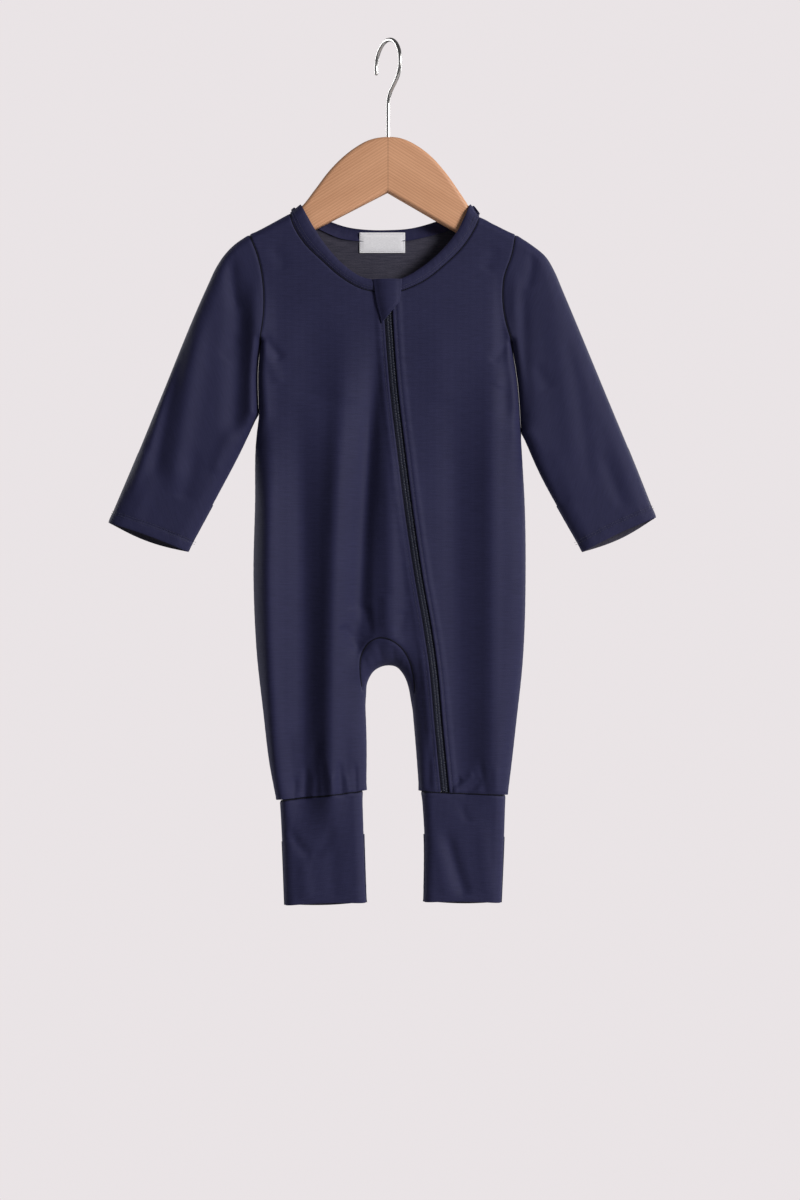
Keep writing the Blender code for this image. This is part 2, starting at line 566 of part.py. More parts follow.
def front_panel_right():
    """From the right side over the middle to the zip, and down the inner side of the left leg."""
    rows = subdivided(FRONT_RIGHT_ROWS + LEG_RIGHT_ROWS[1:], ROW_STEP)
    slit, side, inseam = places_of(SLIT_RIGHT, SIDE_RIGHT, INSEAM_RIGHT)
    seam = GUSSET_SEAM[:5][::-1]
    inner = joined(NECK_RIGHT[:6], CENTRE, seam, [seam[-1], inseam[0]], inseam)
    sheet = Sheet()
    main = strip(joined(ARMHOLE_RIGHT, slit, side), inner, rows, packed(PANEL_COLUMNS))
    sheet.add_patch(main, FRONT, side_folds(rows, inseam[0].z))
    middle = [row.inner for row in rows if CENTRE[-1].z - 1e-6 <= row.inner <= CENTRE[0].z + 1e-6]
    drop = [-row.outer for row in ZIP_SIDE_ROWS]
    zip_rows = [Rows(z, float(np.interp(-z, drop, [row.inner for row in ZIP_SIDE_ROWS]))) for z in middle]
    shares = np.linspace(0, 1, ZIP_COLUMNS + 1)
    edge = zip_edge(-ZIP_OPENING / 2)
    places = strip(joined(CENTRE), edge, zip_rows, shares)
    neckline = joined(NECK_RIGHT[5:])
    fade = [max(0.0, 1 - (zip_rows[0].outer - row.outer) / NECK_FADE) for row in zip_rows]
    places = places + np.array(fade)[:, None, None] * (along(neckline, shares) - places[0])[None]
    sheet.add_patch(places, FRONT)
    (inseam,) = places_of(INSEAM_LEFT)
    leg_rows = subdivided(ZIP_LEG_ROWS, ROW_STEP)
    leg_edge = joined(GUSSET_SEAM[4:], [GUSSET_SEAM[-1], inseam[0]], inseam)
    start = first_at([row.outer for row in leg_rows], inseam[0].z)
    sheet.add_patch(strip(leg_edge, edge, leg_rows, shares), FRONT, [(slice(start, None), 0)])
    return sheet.make("front_panel_right", JERSEY)


def front_panel_left():
    """From the zip to the left side."""
    rows = subdivided(FRONT_LEFT_ROWS, ROW_STEP)
    slit, side = places_of(SLIT_LEFT, SIDE_LEFT)
    edge = zip_edge(ZIP_OPENING / 2)
    inner = np.vstack([joined(NECK_LEFT), edge[edge[:, 1] < NECK_LEFT[-1].z]])
    sheet = Sheet()
    main = strip(joined(ARMHOLE_LEFT, slit, side), inner, rows, packed(PANEL_COLUMNS))
    sheet.add_patch(main, FRONT, side_folds(rows, None))
    return sheet.make("front_panel_left", JERSEY)


def add_back_half(sheet, leg_rows, armhole, slit, side, neck, seam, inseam):
    """Half of the back, from its side to the middle line, and down its leg."""
    rows = subdivided(BACK_ROWS + leg_rows[1:], ROW_STEP)
    slit, side, inseam = places_of(slit, side, inseam)
    shares = packed(BACK_COLUMNS)
    middle = joined([neck[-1], seam[0]], seam, [seam[-1], inseam[0]], inseam)
    places = strip(joined(armhole, slit, side), middle, rows, shares)
    # the first rows follow the shoulder and the neck seam, and straighten out on the way down
    top = np.vstack([
        along(joined([armhole[0], neck[0]]), np.linspace(0, 1, SHOULDER_COLUMNS + 1)),
        along(joined(neck), np.linspace(0, 1, len(shares) - SHOULDER_COLUMNS) ** NECK_SPREAD)[1:],
    ])
    fade = [max(0.0, (row.outer - slit[0].z) / (armhole[0].z - slit[0].z)) ** 1.5 for row in rows]
    places = places + np.array(fade)[:, None, None] * (top - places[0])[None]
    folds = side_folds(rows, inseam[0].z)
    folds[0] = (0, slice(SHOULDER_COLUMNS + 1))
    sheet.add_patch(places, BACK, folds)


def back_panel():
    sheet = Sheet()
    seam_right, seam_left = GUSSET_SEAM[:5][::-1], GUSSET_SEAM[4:]
    add_back_half(
        sheet, LEG_RIGHT_ROWS, ARMHOLE_RIGHT, SLIT_RIGHT, SIDE_RIGHT, NECK_BACK[:5], seam_right, INSEAM_RIGHT
    )
    add_back_half(
        sheet, LEG_LEFT_ROWS, ARMHOLE_LEFT, SLIT_LEFT, SIDE_LEFT, NECK_BACK[4:][::-1], seam_left, INSEAM_LEFT
    )
    return sheet.make("back_panel", JERSEY)


def gusset():
    """From its seam in front, under the crotch, to its seam behind."""
    seam = np.array(GUSSET_SEAM)
    fold = along(joined(places_of(CROTCH)[0]), np.linspace(*GUSSET_ENDS, len(seam)))
    reach = np.linalg.norm(fold - seam, axis=1)[:, None]
    start = seam + (fold - seam) * SEAM / reach
    places = between(start, fold, 1 - (1 - np.linspace(0, 1, 5)) ** 2)
    sheet = Sheet(tube=True)
    for side in (FRONT, BACK):
        sheet.add_patch(places, side, [(slice(None), -1)])
    return sheet.make("gusset", JERSEY)


# ---------------------------------------------------------------- sleeves and leg cuffs


def tube_places(outer, inner, start, rows, columns, drop):
    """A grid down half a tube, from the start edge to its hem, whose middle hangs lower by `drop`."""
    down = np.linspace(0, 1, rows + 1)
    shares = packed(columns)
    places = between(along(outer, down), along(inner, down), shares)
    if start is not None:
        bend = along(start, shares) - places[0]
        places = places + ((1 - down) ** 3)[:, None, None] * bend[None]
    direction = places[-1] - places[-2]
    direction = direction / np.linalg.norm(direction, axis=1)[:, None]
    places[-1] += direction * (drop * np.sin(np.pi * shares))[:, None]
    return places


def sleeve_places(side, armhole, top, slit, under, shift):
    drop = HEM_DROP if side == BACK else -HEM_RISE
    top, slit, under = places_of(top, slit, under)
    grid = tube_places(joined(top), joined(slit, under), joined(armhole), SLEEVE_ROWS, SLEEVE_COLUMNS, drop)
    return grid + [shift, 0]


def sleeve(hand, shift, *curves):
    sheet = Sheet(tube=True)
    for side in (FRONT, BACK):
        sheet.add_patch(sleeve_places(side, *curves, shift), side, [(slice(None), 0), (slice(None), -1)])
    sheet.make("sleeve_" + hand, JERSEY)
    flap = Sheet()
    places = sleeve_places(BACK, *curves, shift)[FLAP_ROW:]
    flap.add_patch(places, BACK, [(slice(None), 0), (slice(None), -1)], lift=SEAM + CLOTH)
    flap.make("mitten_flap_" + hand, JERSEY)


def leg_cuff(foot, outer, inner, edges):
    outer, inner = (joined(table) for table in places_of(outer, inner))
    sheet = Sheet(edges, tube=True)
    folds = [(slice(None), 0), (slice(None), -1)]
    front = tube_places(outer, inner, None, CUFF_ROWS, CUFF_COLUMNS, -HEM_RISE)
    back = tube_places(outer, inner, None, CUFF_ROWS, CUFF_COLUMNS, CUFF_DROP)
    sheet.add_patch(front, FRONT, folds)
    sheet.add_patch(back, BACK, folds)
    sheet.make("leg_cuff_" + foot, JERSEY)
    flap = Sheet(edges)
    flap.add_patch(back[FOOT_FLAP_ROW:], BACK, folds, lift=SEAM + CLOTH)
    flap.make("foot_flap_" + foot, JERSEY)


# ---------------------------------------------------------------- neck, zip and label


def neck_band():
    """A strip round the neck, open in front where the zip ends."""
    sheet = Sheet(tube=True)
    across = [BAND_GAP, 0.5, 1.0]
    down = np.linspace(0, 1, BAND_COLUMNS + 1)
    for seam, edge in ((NECK_RIGHT, BAND_RIGHT), (NECK_LEFT, BAND_LEFT)):
        # closer together near the shoulder, where the band turns over the fold
        share = down**BAND_SPREAD
        places = between(along(joined(seam), share), along(joined(edge), share), across)
        sheet.add_patch(places, FRONT, [(0, slice(None))])
    share = packed(2 * BAND_COLUMNS)
    places = between(along(joined(NECK_BACK), share), along(joined(BAND_BACK), share), across)
    sheet.add_patch(places, BACK, [(0, slice(None)), (-1, slice(None))])
    return sheet.make("neck_band", JERSEY)


def zip_strip(name, left, right, columns, lift, wall, finish):
    """A strip that follows the zip's line between two offsets from it."""
    z = np.linspace(ZIP_TOP, ZIP_END, ZIP_ROWS + 1)
    middle = x_at(joined(ZIP_LINE), z)
    outer = np.stack([middle + left, z], axis=1)
    inner = np.stack([middle + right, z], axis=1)
    sheet = Sheet()
    sheet.add_patch(between(outer, inner, np.linspace(0, 1, columns + 1)), FRONT, lift=lift, wall=wall)
    return sheet.make(name, finish)


def zip_fastener():
    behind = -CLOTH - TAPE_DEPTH
    half_gap = SEAM / 2
    zip_strip("zip_tape_right", -TAPE_WIDTH, -half_gap, 2, behind, TRIM, TAPE)
    zip_strip("zip_tape_left", half_gap, TAPE_WIDTH, 2, behind, TRIM, TAPE)
    zip_strip("zip_coil", -COIL_WIDTH / 2, COIL_WIDTH / 2, 2, COIL_LIFT, COIL_THICKNESS, NYLON)


def zip_guard():
    """A cloth tab over the zip's top end, sewn down along its right side and standing off at its left."""
    shares = np.array([share for share, _ in GUARD_LIFTS])
    lifts = np.array([lift for _, lift in GUARD_LIFTS])
    down = np.linspace(0, 1, 7)
    places = between(along(joined(GUARD_RIGHT), down), along(joined(GUARD_LEFT), down), shares)
    sheet = Sheet()
    sheet.add_patch(places, FRONT, lift=np.broadcast_to(lifts, places.shape[:2]))
    return sheet.make("zip_guard", JERSEY)


def neck_label():
    x, z = np.meshgrid(np.linspace(*LABEL_WIDTH, 5), np.linspace(*LABEL_HEIGHT, 4))
    sheet = Sheet()
    sheet.add_patch(np.stack([x, z], axis=-1), BACK, lift=-CLOTH - LABEL_DEPTH, wall=TRIM)
    return sheet.make("neck_label", LABEL)


def box_piece(name, size, centre, round_off, finish):
    mesh = bmesh.new()
    bmesh.ops.create_cube(mesh, size=1.0)
    bmesh.ops.scale(mesh, vec=np.array(size) * MM, verts=mesh.verts)
    piece = finished(mesh, name, finish)
    piece.location = np.array(centre) * MM
    bevel = piece.modifiers.new("rounded edges", "BEVEL")
    bevel.width = round_off * MM
    bevel.segments = 2
    return piece


def zip_hardware():
    """The slider at the top of the coil, and its pull lying flat on it, both under the guard."""
    place, _ = skin(np.zeros(1), np.array([SLIDER_Z]), FRONT, BODY_EDGES)
    front = place[0, 1] - HALF_GAP - COIL_LIFT - SEAM
    box_piece("zip_slider", SLIDER, (0.0, front - SLIDER[1] / 2, SLIDER_Z), 0.5, STEEL)
    front -= SLIDER[1] + SEAM
    box_piece("zip_pull", PULL, (PULL_OFFSET[0], front - PULL[1] / 2, SLIDER_Z + PULL_OFFSET[1]), 0.3, STEEL)


# ---------------------------------------------------------------- the hanger


def hanger_wood():
    mesh = bmesh.new()
    corners = [mesh.verts.new((p.x * MM, -WOOD_THICKNESS / 2 * MM, p.z * MM)) for p in WOOD_OUTLINE]
    face = mesh.faces.new(corners)
    raised = bmesh.ops.extrude_face_region(mesh, geom=[face])["geom"]
    moved = [item for item in raised if isinstance(item, bmesh.types.BMVert)]
    bmesh.ops.translate(mesh, vec=(0, WOOD_THICKNESS * MM, 0), verts=moved)
    bmesh.ops.recalc_face_normals(mesh, faces=mesh.faces)
    wood = finished(mesh, "hanger_wood", WOOD)
    bevel = wood.modifiers.new("rounded edges", "BEVEL")
    bevel.width = WOOD_ROUND * MM
    bevel.segments = 3
    bevel.angle_limit = math.radians(70)
    mesh = bmesh.new()
    bmesh.ops.create_cone(
        mesh, cap_ends=True, segments=16, radius1=STEM_BORE / 2 * MM, radius2=STEM_BORE / 2 * MM,
        depth=(WOOD_OUTLINE[0].z + 10 - BORE_END) * MM,
    )
    data = bpy.data.meshes.new("stem_bore")
    mesh.to_mesh(data)
    mesh.free()
    cutter = bpy.data.objects.new("stem_bore", data)
    cutter.location = (0, 0, (WOOD_OUTLINE[0].z + 10 + BORE_END) / 2 * MM)
    cutter.hide_render = True
    cutter.display_type = "WIRE"
    bpy.data.collections[CUTTERS].objects.link(cutter)
    bore = wood.modifiers.new("bore for the hook's stem", "BOOLEAN")
    bore.object = cutter
    return wood


def hook_route():
    """Points of the wire's middle line in the hook's own plane: round the rod, back over it, and down."""
    centre = -HOOK_RADIUS + WIRE / 2
    points = []
    for angle in np.linspace(HOOK_TIP, HOOK_LEAVES, 36):
        points.append((HOOK_RADIUS * math.cos(angle), centre + HOOK_RADIUS * math.sin(angle)))
    # heading towards the stem's line, then a bend of BEND_RADIUS into it
    x, z = points[-1]
    heading = np.array([math.sin(HOOK_LEAVES), -math.cos(HOOK_LEAVES)])
    meet_z = z + heading[1] * (x / -heading[0])
    turn = -HOOK_LEAVES
    tangent = BEND_RADIUS * math.tan(turn / 2)
    for angle in np.linspace(turn, 0, 7):
        across = BEND_RADIUS * (1 - math.cos(angle))
        points.append((across, meet_z - tangent + BEND_RADIUS * math.sin(angle)))
    points.append((0.0, STEM_END))
    return points


def hanger_hook():
    curve = bpy.data.curves.new("hanger_hook", "CURVE")
    curve.dimensions = "3D"
    curve.bevel_depth = WIRE / 2 * MM
    curve.bevel_resolution = 3
    curve.use_fill_caps = True
    route = hook_route()
    spline = curve.splines.new("POLY")
    spline.points.add(len(route) - 1)
    for point, (along_plane, z) in zip(spline.points, route):
        point.co = (
            along_plane * math.cos(HOOK_TURN) * MM, -along_plane * math.sin(HOOK_TURN) * MM, z * MM, 1,
        )
    return placed("hanger_hook", curve, STEEL)


# ---------------------------------------------------------------- the whole thing


def main():
    for old in list(bpy.data.objects):
        bpy.data.objects.remove(old)
    for name in (COLLECTION, CUTTERS):
        bpy.context.scene.collection.children.link(bpy.data.collections.new(name))
    bpy.data.collections[CUTTERS].hide_render = True
    front_panel_right()
    front_panel_left()
    back_panel()
    gusset()
    sleeve("right", -SLEEVE_GAP, ARMHOLE_RIGHT, SLEEVE_TOP_RIGHT, SLIT_RIGHT, SLEEVE_UNDER_RIGHT)
    sleeve("left", SLEEVE_GAP, ARMHOLE_LEFT, SLEEVE_TOP_LEFT, SLIT_LEFT, SLEEVE_UNDER_LEFT)
    leg_cuff("right", CUFF_RIGHT_OUTER, CUFF_RIGHT_INNER, CUFF_RIGHT_EDGES)
    leg_cuff("left", CUFF_LEFT_OUTER, CUFF_LEFT_INNER, CUFF_LEFT_EDGES)
    neck_band()
    zip_fastener()
    zip_guard()
    zip_hardware()
    neck_label()
    hanger_wood()
    hanger_hook()


main()
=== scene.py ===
"""The looks of a zip-up baby romper on a small wooden hanger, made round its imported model.

Places are in millimetres in the part's own frame: the origin is the inner top of the hanger's hook, +X is the
wearer's left, +Z is up and the front faces -Y. MM turns them into metres when a mesh is made.

Every cloth surface is the flat outline of the hanging garment, blown out to the front and the back: skin()
gives the point and the outward direction over any place of the outline. Folds and creases add to how full the
cloth hangs, and seams draw it in.
"""

import math
from collections import namedtuple

import bmesh
import bpy
import numpy as np
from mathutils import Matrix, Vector


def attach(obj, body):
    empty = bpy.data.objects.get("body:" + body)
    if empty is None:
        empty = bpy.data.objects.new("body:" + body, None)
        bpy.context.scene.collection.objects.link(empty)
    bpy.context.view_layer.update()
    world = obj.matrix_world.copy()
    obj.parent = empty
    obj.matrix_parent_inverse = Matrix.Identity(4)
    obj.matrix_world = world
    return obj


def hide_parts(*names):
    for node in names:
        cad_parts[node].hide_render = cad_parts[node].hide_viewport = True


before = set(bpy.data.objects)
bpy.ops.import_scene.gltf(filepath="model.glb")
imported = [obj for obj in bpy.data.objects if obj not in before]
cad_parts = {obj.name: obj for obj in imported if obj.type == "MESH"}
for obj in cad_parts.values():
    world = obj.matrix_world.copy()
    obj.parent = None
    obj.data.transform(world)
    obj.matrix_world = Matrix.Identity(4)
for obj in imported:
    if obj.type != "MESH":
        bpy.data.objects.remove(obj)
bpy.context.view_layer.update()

# ---------------------------------------------------------------- sizes

MM = 0.001
FRONT = -1
BACK = 1
CLOTH = 0.85  # one layer of jersey
DOUBLED = 1.6  # where it is folded over itself
TRIM = 0.6  # zip tapes
HALF_GAP = 0.05  # half the gap between front and back pieces at a fold
BACK_WEAVE = 500.0  # how far from the front's the back's weave is laid out
BEHIND_WEAVE = 300.0  # the same behind a tube
PROBE = 0.4  # half the distance over which a slope is measured
SEAM_GAP = 0.12  # between two pieces that a seam joins
SEAM_DEPTH = 0.65  # how far the cloth turns in at a seam
SEAM_WIDTH = 0.85
SEAM_EASE = 8.0  # length over which a seam on a fold draws in from its ends
PUCKER_DEPTH = 0.13  # of the small waves along a seam
PUCKER_START = 1.6
PUCKER_REACH = 5.0
FADE_IN = 0.34  # share of a crease over which it grows from nothing
FADE_OUT = 0.14
FLAT_AT_FOLD = 0.03  # least opening that a slope is worked out from

FINE = 1.6  # distance between the rows of a panel
PANEL_COLUMNS = 72
BACK_COLUMNS = 62  # from a side to the middle
SHOULDER_COLUMNS = 16
NECK_SPREAD = 1.9
ZIP_COLUMNS = 14
NECK_FADE = 30.0

ZIP_OPENING = 7.2
TAPE_WIDTH = 12.0
TAPE_ROWS = 200
TAPE_COLUMNS = 8
TAPE_DEPTH = 0.7
ZIP_TOP = -203.0
ZIP_END = -613.7
TOPSTITCH = 2.5  # from the folded edge beside the zip
TOPSTITCH_RUN = (-209, -612)  # heights between which it runs

FACING = 6.6  # width of the folded edge beside the zip
FACING_LIFT = 0.7
FACING_SOFT = 0.55
FACING_WAVE = 0.35
TOPSTITCH_DENT = 0.42
TOPSTITCH_WIDTH = 0.8
EDGE_DROP = 0.35  # how far a folded edge rounds down

SLEEVE_ROWS = 150
SLEEVE_COLUMNS = 40
FLAP_ROW = 115  # row of the sleeve where its mitten flap starts
CUFF_ROWS = 56
CUFF_COLUMNS = 44
FOOT_FLAP_ROW = 22
FLAP_LIFT = 1.7  # a flap over the cloth below it
FLAP_FADE = 2.5  # how near its side folds a flap lies down on the tube
FLAP_EDGE_LIFT = 0.2
FLAP_EDGE_WALL = 0.15
HEM_HEIGHT = 9.0
HEM_LIFT = 0.55
HEM_GROOVE = 0.5
HEM_RAISED = 0.45  # height of a hem's stitches
CUFF_SUNK = 0.25  # a cuff's cloth lies lower than the leg's
HEM_DROP = 3.5  # how far the middle of a sleeve's hem hangs lower behind
HEM_RISE = 1.2  # how far the middle of a hem rises in front
CUFF_DROP = 1.75
HEM_STITCHES = (8.0, 10.0)  # distances of the two rows from the end of a hem
GUSSET_ROWS = 60
GUSSET_ENDS = (0.004, 0.996)  # share of the crotch's fold where the gusset starts and ends

BAND_COLUMNS = 90
BAND_SPREAD = 1.6  # how much closer together the band's columns lie at the shoulder
BAND_ACROSS = (0.0, 0.05, 0.2, 0.5, 0.8, 0.95, 1.0)  # shares of its width, and how high it stands there
BAND_LIFT = (-0.7, -0.2, 0.6, 1.3, 1.1, 0.6, 0.0)
BACK_BAND = 4  # number of the band's stretch behind
BAND_STITCHES = (0.16, 0.34)  # shares of its width where its two rows of stitches lie
BAND_FLAT_END = 16.0  # length over which the band rises from flat at the shoulder

TOOTH_PITCH = 1.3
TOOTH_LENGTH = 2.4
TOOTH_OFFSET = 1.12
TOOTH_SUNK = 0.3

SEAM_SHADE_LIFT = 0.22  # how high the painted seam shade lies over the bottom of its groove
SEAM_SHADE_SPAN = (0.03, 0.985)  # shares of a seam where its painted shade starts and ends

LABEL_WIDTH = (-23.5, 14.0)
LABEL_HEIGHT = (-155.2, -172.0)
LABEL_DEPTH = 0.5  # how far inside the cloth the label lies
LABEL_WALL = 0.5
LABEL_STITCH = 1.3  # from the label's edge

WOOD_THICKNESS = 11.0
WOOD_ROUND = 3.4
WOOD_SEGMENTS = 7
WOOD_NOTCH = 18  # number of the outline's point at the notch below
WIRE = 3.2
WIRE_SIDES = 24
HOOK_RADIUS = 20.0  # of the wire's middle line
HOOK_TURN = math.radians(60.3)  # hook plane against the hanger's plane
HOOK_TIP = math.radians(192)
HOOK_LEAVES = math.radians(-50)  # where the wire leaves the circle for the stem
BEND_RADIUS = 16.0
STEM_END = -98.0
LEAST_RADIUS = 0.02  # of the wire at the very tip

WALE = 0.95  # width of a column of knitted loops
COURSE = 0.75
STREAKS = 0.55  # share of the jersey's tone that its streaks make
PATCHES = 0.25
JERSEY_LIGHT = (0.0250, 0.0252, 0.0700)
JERSEY_DARK = (0.0182, 0.0185, 0.0520)
REVERSE_LIGHT = (0.066, 0.062, 0.088)
REVERSE_DARK = (0.030, 0.029, 0.046)
WOOD_LIGHT = (0.74, 0.40, 0.23)
WOOD_DARK = (0.50, 0.24, 0.125)

CAMERA_AIM = (0.0098, -0.4576)
CAMERA_DISTANCE = 2.2
CAMERA_HEIGHT_SEEN = 0.984
ROOM_SEEN = (0.82, 0.775, 0.79)
ROOM_LIGHT = (0.95, 0.96, 1.0)
ROOM_STRENGTH = 0.09
LIT_PLACE = (0.0, 0.0, -0.42)
KEY_PLACE = (3.3, -2.75, 0.95)
KEY_SIZE = (1.3, 1.3)
KEY_POWER = 215.0
FILL_PLACE = (-1.8, -1.6, 0.1)
FILL_SIZE = (1.2, 1.2)
FILL_POWER = 2.0
FLOOR_SIZE = 3.0
FLOOR_HEIGHT = -1.35

RIM_PLACES = ((-2.0, 1.3, 0.2), (2.0, 1.3, 0.2))
RIM_SIZE = (1.0, 1.6)
RIM_POWER = 26.0

Edge = namedtuple("Edge", "x z round")  # a fold edge of the outline, and how wide the cloth rounds off there
Place = namedtuple("Place", "x z")
Bulk = namedtuple("Bulk", "x z reach half")  # half the depth of the garment near a place
Sway = namedtuple("Sway", "x z reach forward")
Rows = namedtuple("Rows", "outer inner")  # a row's heights at its outer and inner ends
Crease = namedtuple("Crease", "side x1 z1 x2 z2 bow width height")


def rows_of(kind, *rows):
    return [kind(*row) for row in rows]


def creases(side, *rows):
    return [Crease(side, *row) for row in rows]


# Fold edges, from the neck outwards and from the top down
SHOULDER_RIGHT = rows_of(
    Edge,
    (-71.9, -133.3, 7), (-80.4, -140.2, 7), (-97.0, -149.4, 7), (-113.7, -158.1, 7),
)
SHOULDER_LEFT = rows_of(Edge, (67.8, -133.2, 7), (75.0, -143.0, 7), (90.0, -150.6, 7), (104.6, -158.1, 7))
SLEEVE_TOP_RIGHT = rows_of(
    Edge,
    (-113.7, -158.1, 7), (-124.8, -165.4, 7), (-133.3, -173.8, 8), (-140.6, -184.6, 10), (-147.8, -199.9, 12),
    (-187.0, -294.0, 14), (-206.3, -341.4, 14), (-228.7, -394.3, 13),
)
SLEEVE_TOP_LEFT = rows_of(
    Edge,
    (104.6, -158.1, 7), (118.0, -166.8, 7), (129.4, -176.4, 8), (136.6, -188.6, 10), (142.5, -202.5, 12),
    (181.7, -296.8, 14), (201.4, -344.5, 14), (219.4, -390.0, 13),
)
# where a sleeve hangs against the body, down from the underarm
SLIT_RIGHT = rows_of(Edge, (-104.4, -246.8, 6), (-106.4, -268.0, 7), (-105.9, -305.9, 9))
SLIT_LEFT = rows_of(Edge, (101.2, -246.8, 6), (106.2, -280.2, 7), (109.2, -321.5, 9))
SLEEVE_UNDER_RIGHT = rows_of(
    Edge,
    (-105.9, -305.9, 9), (-121.4, -339.0, 13), (-139.2, -372.8, 14), (-163.6, -418.2, 13),
)
SLEEVE_UNDER_LEFT = rows_of(
    Edge,
    (109.2, -321.5, 9), (124.6, -356.3, 13), (140.3, -385.3, 14), (159.2, -418.3, 13),
)
SIDE_RIGHT = rows_of(
    Edge,
    (-105.9, -305.9, 9), (-108.5, -327.0, 14), (-109.4, -377.8, 16), (-110.7, -440.0, 16),
    (-108.2, -498.3, 16), (-102.5, -550.2, 15), (-97.4, -592.0, 13), (-91.8, -621.0, 10),
)
SIDE_LEFT = rows_of(
    Edge,
    (109.2, -321.5, 9), (110.6, -345.0, 14), (112.4, -377.8, 16), (113.2, -430.0, 16), (110.4, -511.8, 16),
    (105.5, -556.4, 15), (101.4, -592.0, 13), (98.2, -616.8, 10),
)
INSEAM_RIGHT = rows_of(Edge, (-18.2, -538.0, 20), (-17.0, -575.0, 16), (-17.3, -613.0, 11))
INSEAM_LEFT = rows_of(Edge, (18.9, -541.0, 20), (22.3, -579.6, 16), (24.9, -613.5, 11))
CROTCH = rows_of(
    Edge,
    (-18.2, -538.0, 20), (-16.9, -525.0, 22), (-11.5, -515.8, 22), (-2.0, -511.4, 22), (6.5, -512.3, 22),
    (13.0, -519.4, 22), (17.0, -530.0, 22), (18.9, -541.0, 20),
)
CUFF_RIGHT_OUTER = rows_of(Edge, (-88.8, -621.8, 9), (-87.2, -653.0, 9), (-85.0, -707.5, 9))
CUFF_RIGHT_INNER = rows_of(Edge, (-20.3, -613.6, 9), (-18.9, -656.8, 9), (-17.3, -705.2, 9))
CUFF_LEFT_OUTER = rows_of(Edge, (96.4, -617.0, 9), (95.0, -660.0, 9), (93.0, -705.2, 9))
CUFF_LEFT_INNER = rows_of(Edge, (26.6, -613.9, 9), (29.0, -654.0, 9), (28.7, -704.5, 9))

# Seams inside the outline
ARMHOLE_RIGHT = rows_of(
    Place,
    (-113.7, -158.1), (-106.6, -175.5), (-101.6, -202.5), (-101.4, -223.7), (-104.4, -246.8),
)
ARMHOLE_LEFT = rows_of(
    Place,
    (104.6, -158.1), (101.2, -175.6), (94.9, -194.3), (93.8, -209.1), (95.9, -228.0), (101.2, -246.7),
)
NECK_RIGHT = rows_of(
    Place,
    (-80.4, -140.2), (-78.4, -148.0), (-68.9, -165.1), (-54.1, -179.9), (-37.5, -194.3), (-22.8, -202.8),
    (-4.0, -207.4),
)
NECK_LEFT = rows_of(
    Place,
    (75.0, -143.0), (72.8, -149.8), (62.5, -167.3), (45.8, -184.2), (29.0, -197.2), (14.4, -204.0),
    (4.0, -207.4),
)
NECK_BACK = rows_of(
    Place,
    (-80.4, -140.2), (-53.3, -154.4), (-40.2, -160.0), (-24.2, -162.5), (0.0, -163.0), (15.4, -162.2),
    (31.4, -159.0), (46.5, -154.8), (75.0, -143.0),
)
BAND_RIGHT = rows_of(
    Place,
    (-71.9, -133.3), (-68.6, -139.0), (-60.4, -153.6), (-47.9, -171.5), (-35.3, -184.6), (-22.8, -193.2),
    (-4.0, -197.4),
)
BAND_LEFT = rows_of(
    Place,
    (67.8, -133.2), (64.8, -139.6), (56.2, -156.8), (42.6, -173.2), (24.8, -187.8), (13.0, -194.4),
    (4.0, -197.4),
)
BAND_BACK = rows_of(
    Place,
    (-71.9, -133.3), (-46.7, -146.6), (-34.5, -150.6), (-19.4, -152.8), (0.0, -153.2), (18.2, -151.9),
    (37.1, -147.0), (67.8, -133.2),
)
GUSSET_SEAM = rows_of(
    Place,
    (-20.6, -531.0), (-22.6, -516.0), (-21.6, -502.0), (-15.5, -492.2), (-6.6, -488.3), (3.0, -490.6),
    (11.0, -496.6), (17.2, -507.0), (20.3, -519.0), (21.6, -533.0),
)
CENTRE = rows_of(Place, (-22.8, -202.8), (-16.0, -300.0), (-9.0, -420.0), (-6.6, -488.3))
ZIP_LINE = rows_of(
    Place,
    (0.0, -196.0), (0.0, -211.6), (1.6, -244.4), (4.9, -285.4), (10.7, -334.6), (18.0, -392.0),
    (25.4, -441.2), (32.0, -478.1), (37.3, -515.0), (41.4, -560.1), (46.7, -614.5),
)

BULKS = rows_of(
    Bulk,
    (0, -165, 60, 9.0), (-115, -170, 45, 8.8), (115, -170, 45, 8.8), (0, -250, 60, 11.5), (0, -340, 80, 13.0),
    (0, -440, 80, 14.0), (-62, -530, 55, 13.5), (62, -530, 55, 13.5), (-58, -605, 40, 11.5),
    (60, -605, 40, 11.5), (-53, -690, 50, 8.5), (60, -690, 50, 8.5), (-150, -250, 45, 10.5),
    (150, -250, 45, 10.5), (-175, -330, 50, 10.5), (172, -330, 50, 10.5), (-195, -400, 45, 8.0),
    (190, -400, 45, 8.0),
)
SWAYS = rows_of(
    Sway,
    (-195, -400, 90, 3.0), (190, -400, 90, 1.0), (-53, -700, 110, 1.5), (60, -700, 110, 4.0),
)
